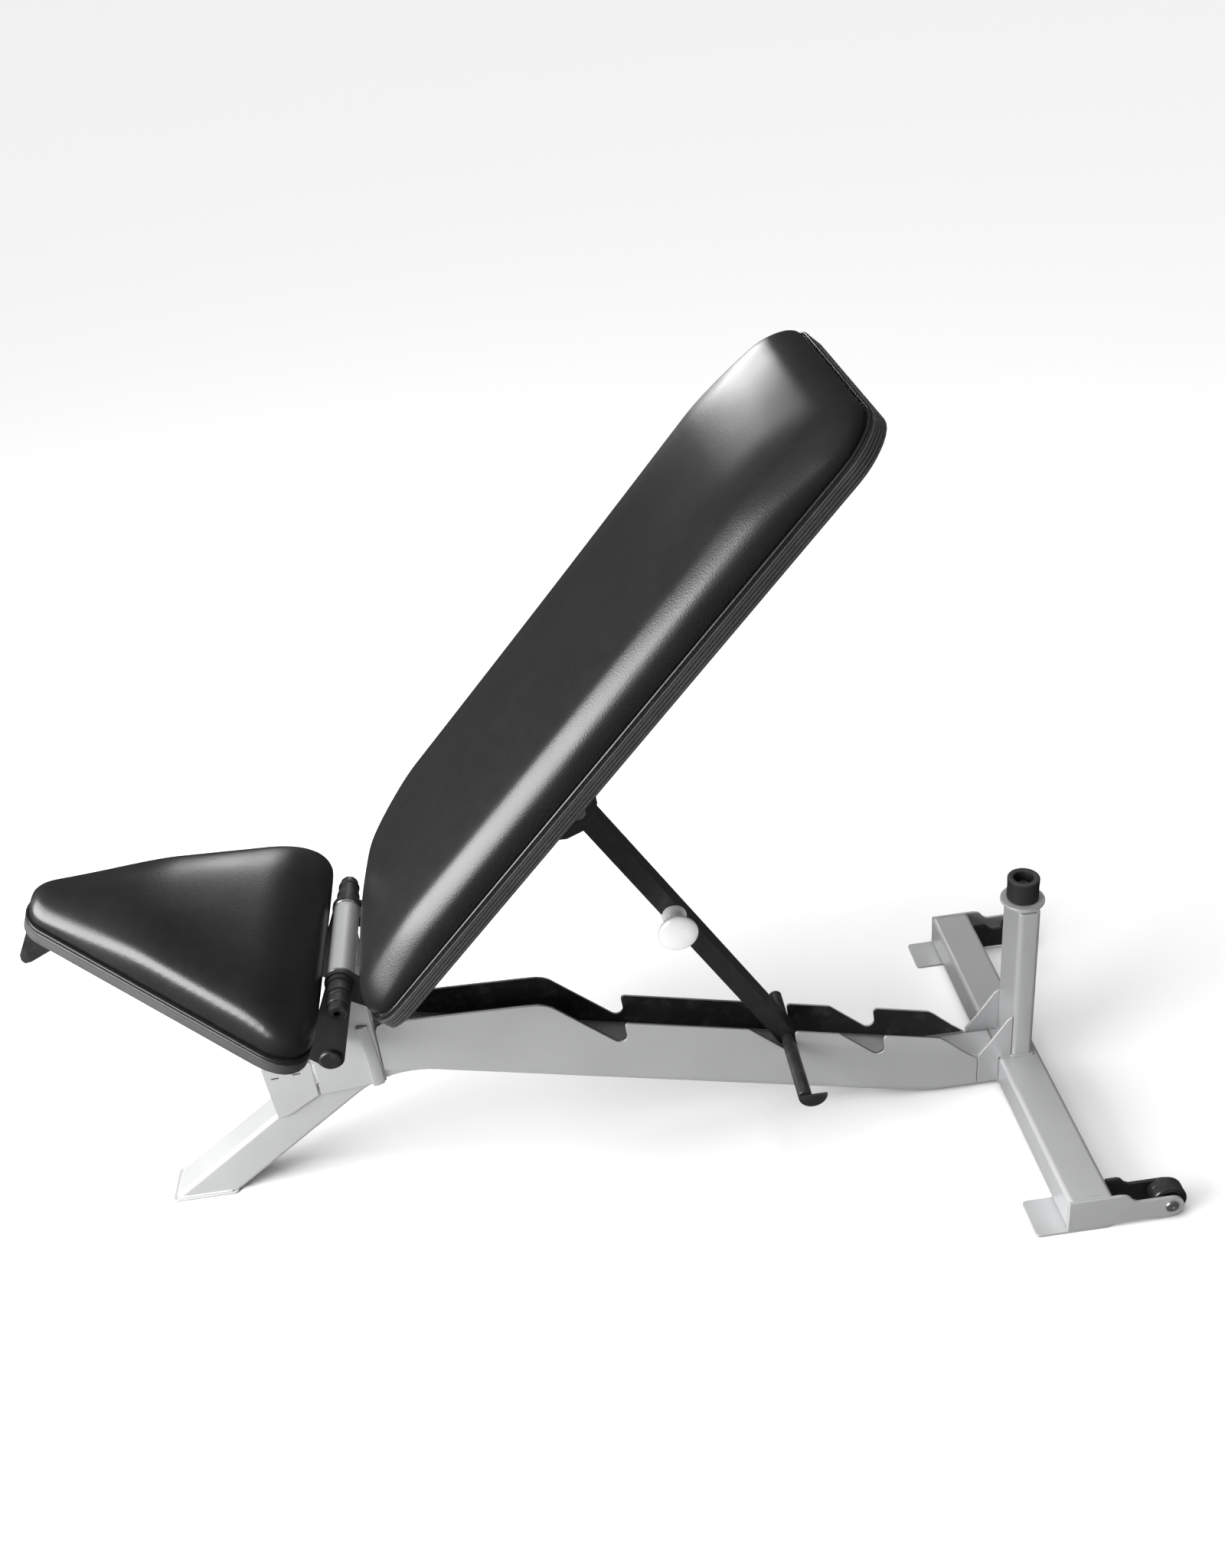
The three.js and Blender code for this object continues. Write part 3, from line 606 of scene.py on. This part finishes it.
class BENCH_OT_seat_cushion(bpy.types.Operator):
    """Upholster the seat: a tapered pad with a narrow round nose"""

    bl_idname = "bench.seat_cushion"
    bl_label = "Seat cushion"

    def execute(self, context):
        bottom, top, shoulder = -0.0307, 0.014, 0.017
        x0, _, nose_half, rear_half = inset_plan(SEAT_PLAN, PAD_INSET)
        bm = plan_block(x0, SEAT_PAD_REAR - 0.002, nose_half, rear_half, bottom, top, 0.020, 0.064)
        rounded(bm, rim_edges(bm, top), shoulder, segments=8)
        bm = blown_up(bm, bottom)
        crown, nose_fall, rear_fall = 0.009, 0.018, 0.010
        nose_reach, rear_reach = 0.15, 0.09
        wide_half, taper, taper_start = 0.180, 0.561, -0.078
        for v in bm.verts:
            height = ease((v.co.z - bottom) / (top - bottom))
            nose = ease(1 - (v.co.x - x0) / nose_reach)
            rear = ease(1 - (SEAT_PAD_REAR - v.co.x) / rear_reach)
            half = wide_half - taper * max(0.0, taper_start - v.co.x)
            side = min(1.0, abs(v.co.y) / half) ** 2.2
            v.co.z += height * (crown * (1 - side) - nose_fall * nose - rear_fall * rear)
        cover("seat_cushion", bm, "seat", SEAT_FRAME)
        block = plan_block(*inset_plan(SEAT_PLAN, WELT_INSET), bottom, top, 0.024, 0.061)
        welt("seat_cushion", "seat", SEAT_FRAME, block, top, -0.0275)
        return {"FINISHED"}


# One rib of a tray's edge, as shares of its pitch and of its groove.
RIB_STEPS = ((0.62, 0), (0.70, 1), (0.92, 1), (1, 0))


def tray(plan, bottom, top, rounds, ribs, groove):
    """A moulded tray: its edge stepped into fine ribs, and a shallow panel underneath."""
    bm = plan_block(*plan, bottom, top, *rounds)
    low = max((f for f in bm.faces if f.normal.z < -0.9), key=lambda f: f.calc_area())
    bmesh.ops.delete(bm, geom=[f for f in bm.faces if f is not low], context="FACES")
    to_centre = Matrix.Translation((-(plan[0] + plan[1]) / 2, 0, 0))
    half = Vector(((plan[1] - plan[0]) / 2, max(plan[2:])))

    def draw_in(verts, before, after):
        """Scales a ring of the edge from one inset of the plan to the next."""
        grow = ((half.x - after) / (half.x - before), (half.y - after) / (half.y - before), 1)
        bmesh.ops.scale(bm, vec=grow, verts=verts, space=to_centre)

    first_rib, plain_edge = 0.0026, 0.004
    pitch = (top - bottom - plain_edge) / max(1, ribs)
    steps = [(0.0012, 0.0025), (first_rib, 0.0)]
    for rib in range(ribs):
        start = first_rib + rib * pitch
        steps += [(start + pitch * along, groove * deep) for along, deep in RIB_STEPS]
    steps += [(top - bottom, 0.0022)]
    loop = [e for e in bm.edges if e.is_boundary]
    level, inset_before = 0.0, 0.004
    draw_in(bm.verts, 0, inset_before)
    for height, inset in steps:
        made = bmesh.ops.extrude_edge_only(bm, edges=loop)["geom"]
        verts = [g for g in made if isinstance(g, bmesh.types.BMVert)]
        loop = [g for g in made if isinstance(g, bmesh.types.BMEdge)]
        bmesh.ops.translate(bm, verts=verts, vec=(0, 0, height - level))
        draw_in(verts, inset_before, inset)
        level, inset_before = height, inset
    bmesh.ops.contextual_create(bm, geom=loop)
    bmesh.ops.recalc_face_normals(bm, faces=bm.faces)
    under = min((f for f in bm.faces if abs(f.normal.z) > 0.9), key=lambda f: f.calc_center_median().z)
    bmesh.ops.inset_region(bm, faces=[under], thickness=0.014, depth=0, use_even_offset=True)
    bmesh.ops.inset_region(bm, faces=[under], thickness=0.0015, depth=-0.0012, use_even_offset=True)
    return bm


class BENCH_OT_trays(bpy.types.Operator):
    """Mould the trays that the cushions sit in"""

    bl_idname = "bench.trays"
    bl_label = "Pad trays"

    def execute(self, context):
        pads = context.scene.bench_pads
        bm = tray(BACK_PLAN, -0.048, -0.030, (0.050, 0.050), pads.ribs, 0.0022)
        piece("back_tray", bm, "backrest", "moulded_pad_tray", place=BACK_FRAME, nodes=["back_board"])
        bm = tray(SEAT_PLAN, -0.046, -0.031, (0.024, 0.062), 1, 0.0006)
        piece("seat_tray", bm, "seat", "moulded_pad_tray", place=SEAT_FRAME, nodes=["seat_board"])
        return {"FINISHED"}


# ---- metal ----
class BENCH_OT_painted_metal(bpy.types.Operator):
    """Round the cut edges of every plate and tube, and paint them"""

    bl_idname = "bench.painted_metal"
    bl_label = "Painted metal"

    def execute(self, context):
        skipped = {"back_board", "back_cushion", "seat_board", "seat_cushion", "bumper", "bumper_bolt",
                   "knob_stem", "knob_cap", "crossbar", "seat_stop_bar",
                   *(f"{stem}_{side}" for side in SIDES
                     for stem in ("wheel", "wheel_axle", "pivot_bolt_head", "pivot_collar", "pivot_washer"))}
        for node in NODE_BODY:
            if node not in skipped:
                machined(node)
        return {"FINISHED"}


def bar(radius, low, high, chamfer=0.0015):
    """A turned bar between two heights, with chamfered ends."""
    return turned([(0, low), (radius - chamfer, low), (radius, low + chamfer), (radius, high - chamfer),
                   (radius - chamfer, high), (0, high)], 40)


class BENCH_OT_pivot_hardware(bpy.types.Operator):
    """Fit the collars, washers and socket bolts on the pivot shaft, and the seat's stop bar"""

    bl_idname = "bench.pivot_hardware"
    bl_label = "Pivot hardware"

    def execute(self, context):
        for side, sign in SIDES.items():
            place = along_y(Vector((PIVOT.x, 0, PIVOT.z)), sign)
            collar = turned([(0.0103, 0.0984), (0.0118, 0.0984), (0.013, 0.0996), (0.013, 0.1030),
                             (0.0122, 0.1036), (0.0122, 0.1136), (0.013, 0.1142), (0.013, 0.1166),
                             (0.0118, 0.1178), (0.0103, 0.1178), (0.0103, 0.0984)])
            piece(f"pivot_collar_{side}_turned", collar, "frame", "black_powder_coat", place=place,
                  nodes=[f"pivot_collar_{side}"])
            washer = turned([(0.0103, 0.0664), (0.0168, 0.0664), (0.0175, 0.0670), (0.0175, 0.0688),
                             (0.0168, 0.0694), (0.0103, 0.0694), (0.0103, 0.0664)])
            piece(f"pivot_washer_{side}_turned", washer, "frame", "zinc", place=place,
                  nodes=[f"pivot_washer_{side}"])
            head = socket_head(0.011, 0.0108, 0.0047, 0.006)
            piece(f"pivot_bolt_{side}_head", head, "frame", "black_powder_coat",
                  place=place @ Matrix.Translation((0, 0, 0.1182)), nodes=[f"pivot_bolt_head_{side}"])
        centre = middle("seat_stop_bar")
        piece("stop_bar_turned", bar(0.013, -0.088, 0.088), "seat", "black_powder_coat",
              place=along_y(centre), nodes=["seat_stop_bar"])
        return {"FINISHED"}


class BENCH_OT_prop_arm(bpy.types.Operator):
    """Turn the crossbar and the round knob of the prop arm"""

    bl_idname = "bench.prop_arm"
    bl_label = "Prop arm fittings"

    def execute(self, context):
        centre = middle("crossbar")
        centre.y = 0
        piece("crossbar_turned", bar(0.0085, -0.122, 0.070, 0.001), "prop_arm", "black_powder_coat",
              place=along_y(centre), nodes=["crossbar"])
        knob = middle("knob_cap")
        knob.y = 0
        stem = turned([(0, 0.0163), (0.0145, 0.0163), (0.015, 0.0168), (0.0145, 0.0188), (0.0125, 0.0215),
                       (0.0118, 0.0255), (0.0115, 0.032), (0.0122, 0.0375), (0.0135, 0.0420), (0.015, 0.0460),
                       (0, 0.0460)], 56)
        piece("knob_stem_turned", stem, "prop_arm", "polished_aluminium", place=along_y(knob, -1), smooth=60,
              nodes=["knob_stem"])
        dome = [(0.024 * cos(a), 0.0515 + 0.0085 * sin(a)) for a in (radians(9 * k) for k in range(1, 10))]
        cap = turned([(0, 0.0463), (0.0165, 0.0463), (0.0205, 0.0472), (0.0230, 0.0490), (0.024, 0.0515),
                      *dome, (0, 0.0600)], 64)
        piece("knob_cap_turned", cap, "prop_arm", "polished_aluminium", place=along_y(knob, -1), smooth=60,
              nodes=["knob_cap"])
        return {"FINISHED"}


class BENCH_OT_wheels(bpy.types.Operator):
    """Turn the transport wheels and their riveted axles"""

    bl_idname = "bench.wheels"
    bl_label = "Transport wheels"

    def execute(self, context):
        half = 0.0108
        for side, sign in SIDES.items():
            hub = JOINTS[f"wheel_{side}_spin"]
            face = [(0.0043, half), (0.0078, half), (0.0086, half - 0.0008), (0.0090, half - 0.0024),
                    (0.0142, half - 0.0024), (0.0150, half - 0.0008), (0.0156, half - 0.0004),
                    (0.0178, half - 0.0004)]
            shoulder = [(0.0178 + 0.0032 * sin(a), half - 0.0036 + 0.0032 * cos(a))
                        for a in (radians(15 * k) for k in range(1, 7))]
            tread = [(0.021, 0.0024), (0.0206, 0.0019)]
            profile = face + shoulder + tread
            mirror = [(r, -y) for r, y in reversed(profile)]
            wheel = turned(profile + mirror + [profile[0]], 72)
            piece(f"wheel_{side}_turned", wheel, f"wheel_{side}", "wheel_urethane", place=along_y(hub, sign),
                  nodes=[f"wheel_{side}"])
            axle = turned([(0, 0.2440), (0.0062, 0.2440), (0.007, 0.2448), (0.007, 0.2476),
                           (0.004, 0.2476), (0.004, 0.2807), (0.008, 0.2807), (0.008, 0.2815),
                           (0.0074, 0.2824), (0.0055, 0.2831), (0.0020, 0.2832), (0.0014, 0.2825),
                           (0, 0.2824)], 40)
            piece(f"wheel_axle_{side}_riveted", axle, "frame", "zinc",
                  place=along_y(Vector((hub.x, 0, hub.z)), sign), nodes=[f"wheel_axle_{side}"])
        return {"FINISHED"}


class BENCH_OT_bumper(bpy.types.Operator):
    """Mould the rubber bumper on the rear post, with its sunk bolt"""

    bl_idname = "bench.bumper"
    bl_label = "Post bumper"

    def execute(self, context):
        low, high = (Vector(corner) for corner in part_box("bumper"))
        place = Matrix.Translation((((low + high) / 2).x, 0, 0))
        base, top = low.z, high.z
        lip = [(0.0170 + 0.0025 * cos(a), top - 0.0025 + 0.0025 * sin(a))
               for a in (radians(18 * k) for k in range(6))]
        rubber = turned([(0.0046, base), (0.0170, base), (0.0188, base + 0.0012), (0.0195, base + 0.003),
                         (0.0191, base + 0.015), *lip, (0.0145, top), (0.0125, top - 0.0012),
                         (0.0117, top - 0.0035), (0.0115, base + 0.014), (0.0046, base + 0.014),
                         (0.0046, base)], 64)
        piece("bumper_moulded", rubber, "frame", "bumper_rubber", place=place, nodes=["bumper"])
        bolt = turned([(0, 0.262), (0.004, 0.262), (0.004, base + 0.0143), (0.0088, base + 0.0143),
                       (0.0095, base + 0.0148), (0.0095, base + 0.0156), (0.0088, base + 0.0161),
                       (0, base + 0.0161)])
        head = socket_head(0.0065, 0.0045, 0.0029, 0.0028)
        merge_into(bolt, head, Matrix.Translation((0, 0, base + 0.0163)))
        piece("bumper_bolt_and_washer", bolt, "frame", "zinc", place=place, nodes=["bumper_bolt"])
        return {"FINISHED"}


class BENCH_OT_pad_fasteners(bpy.types.Operator):
    """Fit the upper pad plate, the tube end caps and the button screws under both pads"""

    bl_idname = "bench.pad_fasteners"
    bl_label = "Pad fasteners"

    def execute(self, context):
        face = -0.0522
        plate = plan_block(0.560, 0.620, 0.104, 0.104, face, -0.0483, 0.008, 0.008)
        rounded(plate, rim_edges(plate, face), 0.0008)
        piece("back_upper_plate", plate, "backrest", "black_powder_coat", place=BACK_FRAME)
        rows = {"backrest": (BACK_FRAME, -0.0523, [(x, y) for x in (0.105, 0.590) for y in (-0.090, 0.090)]),
                "seat": (SEAT_FRAME, -0.0503, [(x, y) for x in (-0.200, -0.062) for y in (-0.060, 0.060)])}
        for body, (place, level, spots) in rows.items():
            screws = bmesh.new()
            for x, y in spots:
                flip = Matrix.Translation((x, y, level)) @ Matrix.Rotation(pi, 4, "X")
                merge_into(screws, socket_head(0.0075, 0.004, 0.0028, 0.0022), flip)
            piece(f"pad_screws_{body}", screws, body, "zinc", place=place)
        caps = bmesh.new()
        for x, out in ((0.070, -1), (0.660, 1)):
            end = bmesh.new()
            bmesh.ops.create_cube(end, size=1, matrix=Matrix.Translation((x + out * 0.0011, 0, -0.0715))
                                  @ Matrix.Diagonal((0.0016, 0.0495, 0.0375, 1)))
            rounded(end, list(end.edges), 0.0007)
            merge_into(caps, end)
        piece("tube_end_caps", caps, "backrest", "moulded_pad_tray", place=BACK_FRAME)
        return {"FINISHED"}


# ---- weld beads ----
RIPPLE_STEP = 0.0022
RIPPLE_WIDTHS = (0.72, 1.0)


def bead(name, runs, body, slot, radius):
    """Rippled weld beads along runs of points, as one piece."""
    total = bmesh.new()
    for run in runs:
        points = [Vector(p) for p in run]
        stations = []
        for start, end in zip(points, points[1:]):
            count = max(2, int((end - start).length / RIPPLE_STEP))
            stations += [start.lerp(end, k / count) for k in range(count)]
        bent_bar(total, [*stations, points[-1]], radius, resolution=2, swells=RIPPLE_WIDTHS)
    outward(total)
    piece(name, total, body, slot, smooth=70, weighted=False)


def on_both_sides(place, strips):
    """Straight runs from x0 to x1 at (y, z) of a pad's frame, on each side of it."""
    return [[place @ Vector((x, sign * y, z)) for x in (x0, x1)]
            for sign in SIDES.values() for x0, x1, y, z in strips]


def box_loop(x0, x1, y0, y1, z):
    """A run round a level rectangle."""
    return [(x0, y0, z), (x1, y0, z), (x1, y1, z), (x0, y1, z), (x0, y0, z)]


class BENCH_OT_welds(bpy.types.Operator):
    """Lay the weld beads where plates and tubes meet"""

    bl_idname = "bench.welds"
    bl_label = "Weld beads"

    def execute(self, context):
        radius = context.scene.bench_metal.bead
        post, base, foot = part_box("rear_post"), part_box("rear_cross_tube"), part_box("front_foot_plate")
        tower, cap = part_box("tower_side_left"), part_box("post_cap_plate")
        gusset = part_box("post_gusset_left")
        cap_y, tube_y, gusset_y, foot_y = 0.0255, 0.0258, 0.0292, 0.0256
        runs = [box_loop(post[0].x, post[1].x, post[0].y, post[1].y, base[1].z + 0.0006),
                box_loop(post[0].x + 0.0015, post[1].x - 0.0015, -cap_y, cap_y, cap[0].z - 0.0006)]
        for sign in SIDES.values():
            edge = sign * (abs(tower[1].y) + 0.0004)
            front = tower[0].x
            runs.append([(front + 0.001, edge, 0.148), (front + 0.069, edge, 0.1525),
                         (tower[1].x, edge, 0.155)])
            runs.append([(base[0].x - 0.0004, sign * tube_y, level) for level in (0.006, 0.044)])
            runs.append([(gusset[1].x - back, sign * gusset_y, base[1].z + 0.0004) for back in (0.014, 0)])
            end = sign * (base[1].y + 0.0002)
            inner = sign * (base[1].y - 0.0004)
            runs.append([(base[0].x + 0.004, inner, base[1].z), (base[1].x - 0.004, inner, base[1].z)])
            runs.append([(base[1].x, inner, base[1].z - 0.006), (base[1].x, end, base[0].z + 0.006)])
            runs.append([(x, sign * foot_y, foot[1].z + 0.0006)
                         for x in (foot[0].x + 0.006, foot[1].x - 0.008)])
        bead("frame_welds", runs, "frame", "silver_paint", radius)
        runs = on_both_sides(BACK_FRAME, ((0.060, 0.146, 0.0762, -0.0527), (0.060, 0.146, 0.0694, -0.0527),
                                          (0.266, 0.340, 0.0213, -0.0907)))
        bead("back_welds", runs, "backrest", "black_powder_coat", radius * 0.8)
        runs = on_both_sides(SEAT_FRAME, ((-0.220, -0.040, 0.0759, -0.0506),
                                          (-0.220, -0.040, 0.0825, -0.0506)))
        bead("seat_welds", runs, "seat", "black_powder_coat", radius * 0.8)
        return {"FINISHED"}


# The straight part of the main tube: the way out of its top, and a point on the top.
TUBE_SLOPE = radians(13.86)
TUBE_OUT = Vector((sin(TUBE_SLOPE), 0, cos(TUBE_SLOPE)))
TUBE_TOP = Vector((-0.268, 0, 0.196)) + 0.0262 * TUBE_OUT
# The two faces of the black sheet of painted shade on each ladder plate's inner face, as distances from the middle
# plane, and one that parts the plate's two faces.
PAINTED_SHADE_OUTER, PAINTED_SHADE_INNER, PLATE_MIDDLE = 0.0255, 0.0246, 0.0270


class BENCH_OT_ladder_painted_shade(bpy.types.Operator):
    """Lay black sheets of painted shade on the inner faces of the ladder plates above the tube, and dark insets of
    painted shade in the receiver's two slots
    """

    bl_idname = "bench.ladder_liners"
    bl_label = "Ladder painted shade"

    def execute(self, context):
        for side, sign in SIDES.items():
            bm = node_copy(f"ladder_plate_{side}")
            # Each plate is copied and pressed onto two planes just inside its inner face: a thin black sheet of
            # painted shade for the shade between the two plates.
            for v in bm.verts:
                v.co.y = sign * (PAINTED_SHADE_OUTER if abs(v.co.y) < PLATE_MIDDLE else PAINTED_SHADE_INNER)
            for point, outwards in ((TUBE_TOP, TUBE_OUT), (Vector((0, 0, 0.054)), Vector((0, 0, 1)))):
                bmesh.ops.bisect_plane(bm, geom=[*bm.verts, *bm.edges, *bm.faces], plane_co=point,
                                       plane_no=outwards, clear_inner=True)
                bmesh.ops.holes_fill(bm, edges=[e for e in bm.edges if e.is_boundary])
            bmesh.ops.recalc_face_normals(bm, faces=bm.faces)
            piece(f"ladder_shade_sheet_{side}", bm, "frame", "black_powder_coat")
        # Thin dark insets of painted shade, standing in for the shade inside the receiver's two slots; no hole is
        # cut.
        slots = bmesh.new()
        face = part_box("receiver_side_left")[0]
        for along, level in ((0.0143, 0.1822), (0.0412, 0.1847)):
            place = Matrix.Translation((face.x + along, face.y, level)) @ Matrix.Rotation(radians(-5), 4, "Y")
            slot = bmesh.new()
            bmesh.ops.create_cube(slot, size=1, matrix=place @ Matrix.Diagonal((0.010, 0.0004, 0.0019, 1)))
            ends = [e for e in slot.edges if abs(e.verts[0].co.y - e.verts[1].co.y) > 0.0003]
            rounded(slot, ends, 0.0008, segments=4)
            merge_into(slots, slot)
        piece("receiver_slot_shade", slots, "frame", "moulded_pad_tray")
        return {"FINISHED"}


# ---- studio ----
FLOOR_HALF = 200


class BENCH_OT_stage(bpy.types.Operator):
    """Lay a pale floor, hang soft lights and set the camera"""

    bl_idname = "bench.stage"
    bl_label = "Stage"

    def execute(self, context):
        stage = context.scene.bench_stage
        bm = bmesh.new()
        bmesh.ops.create_grid(bm, x_segments=1, y_segments=1, size=FLOOR_HALF)
        mesh = bpy.data.meshes.new("floor")
        bm.to_mesh(mesh)
        bm.free()
        floor = bpy.data.objects.new("floor", mesh)
        context.scene.collection.objects.link(floor)
        paint = bpy.data.materials.new("studio_floor")
        paint.use_nodes = True
        shader = paint.node_tree.nodes["Principled BSDF"]
        shader.inputs["Base Color"].default_value = (*stage.floor, 1)
        shader.inputs["Roughness"].default_value = 0.9
        shader.inputs["Specular IOR Level"].default_value = 0.1
        mesh.materials.append(paint)
        floor.visible_glossy = False
        self.lights(context)
        self.camera(context, stage)
        return {"FINISHED"}

    def lights(self, context):
        world = bpy.data.worlds.new("studio")
        world.use_nodes = True
        tree = world.node_tree
        dim = tree.nodes["Background"]
        dim.inputs["Color"].default_value = (1, 1, 1, 1)
        dim.inputs["Strength"].default_value = 0.055
        pale = add(tree, "ShaderNodeBackground", {"Strength": 1.0, "Color": (1, 1, 1, 1)})
        seen = add(tree, "ShaderNodeLightPath").outputs["Is Camera Ray"]
        both = add(tree, "ShaderNodeMixShader", {0: seen, 1: dim.outputs[0], 2: pale.outputs[0]})
        tree.links.new(both.outputs[0], tree.nodes["World Output"].inputs["Surface"])
        context.scene.world = world
        softboxes = (
            ("key_softbox", (-2.0, -0.8, 1.15), (0.0, 0.0, 0.5), 2.3, 1.3, 118),
            ("far_softbox", (-0.15, 2.6, 1.25), (0.2, 0.0, 0.9), 0.6, 0.4, 8),
        )
        for name, place, target, width, height, power in softboxes:
            lamp = bpy.data.lights.new(name, "AREA")
            lamp.shape = "RECTANGLE"
            lamp.size, lamp.size_y, lamp.energy = width, height, power
            holder = bpy.data.objects.new(name, lamp)
            holder.location = place
            holder.rotation_mode = "QUATERNION"
            holder.rotation_quaternion = (Vector(target) - Vector(place)).to_track_quat("-Z", "Y")
            holder.visible_camera = False
            context.scene.collection.objects.link(holder)
        sun = bpy.data.lights.new("sky_panel", "SUN")
        sun.energy, sun.angle = 3.3, radians(70)
        holder = bpy.data.objects.new("sky_panel", sun)
        holder.rotation_mode = "QUATERNION"
        holder.rotation_quaternion = Vector((0.35, 0.05, -1)).to_track_quat("-Z", "Y")
        holder.visible_glossy = False
        context.scene.collection.objects.link(holder)
        context.scene.view_settings.view_transform = "Standard"

    def camera(self, context, stage):
        yaw, pitch, roll = stage.camera_yaw, stage.camera_pitch, stage.camera_roll
        ahead = Vector((sin(yaw) * cos(pitch), cos(yaw) * cos(pitch), -sin(pitch)))
        level = Vector((cos(yaw), -sin(yaw), 0))
        upright = level.cross(ahead)
        right = cos(roll) * level + sin(roll) * upright
        up = cos(roll) * upright - sin(roll) * level
        data = bpy.data.cameras.new("camera")
        data.lens = stage.lens
        data.dof.use_dof = False
        camera = bpy.data.objects.new("camera", data)
        turn = Matrix((right, up, -ahead)).transposed().to_4x4()
        camera.matrix_world = Matrix.Translation(Vector(stage.camera_place)) @ turn
        context.scene.collection.objects.link(camera)
        context.scene.camera = camera


OPERATORS = (
    BENCH_OT_painted_metal, BENCH_OT_pivot_hardware, BENCH_OT_prop_arm, BENCH_OT_wheels, BENCH_OT_bumper,
    BENCH_OT_trays, BENCH_OT_back_cushion, BENCH_OT_seat_cushion, BENCH_OT_pad_fasteners, BENCH_OT_welds,
    BENCH_OT_ladder_painted_shade, BENCH_OT_stage,
)


PROPERTIES = {"bench_pads": BenchPadProperties, "bench_metal": BenchMetalProperties,
              "bench_stage": BenchStageProperties}


class BENCH_PT_panel(bpy.types.Panel):
    """Lists every step of the bench's finish"""

    bl_label = "Weight bench"
    bl_space_type = "VIEW_3D"
    bl_region_type = "UI"
    bl_category = "Bench"

    def draw(self, context):
        for group in PROPERTIES:
            settings = getattr(context.scene, group)
            column = self.layout.column()
            for name in settings.__annotations__:
                column.prop(settings, name)
        for operator in OPERATORS:
            self.layout.operator(operator.bl_idname)


def register():
    for made in (*PROPERTIES.values(), *OPERATORS, BENCH_PT_panel):
        bpy.utils.register_class(made)
    for name, group in PROPERTIES.items():
        setattr(bpy.types.Scene, name, bpy.props.PointerProperty(type=group))


def unregister():
    for name in PROPERTIES:
        delattr(bpy.types.Scene, name)
    for made in (BENCH_PT_panel, *reversed(OPERATORS), *PROPERTIES.values()):
        bpy.utils.unregister_class(made)


def main():
    register()
    for operator in OPERATORS:
        area, name = operator.bl_idname.split(".")
        getattr(getattr(bpy.ops, area), name)()


if __name__ == "__main__":
    main()
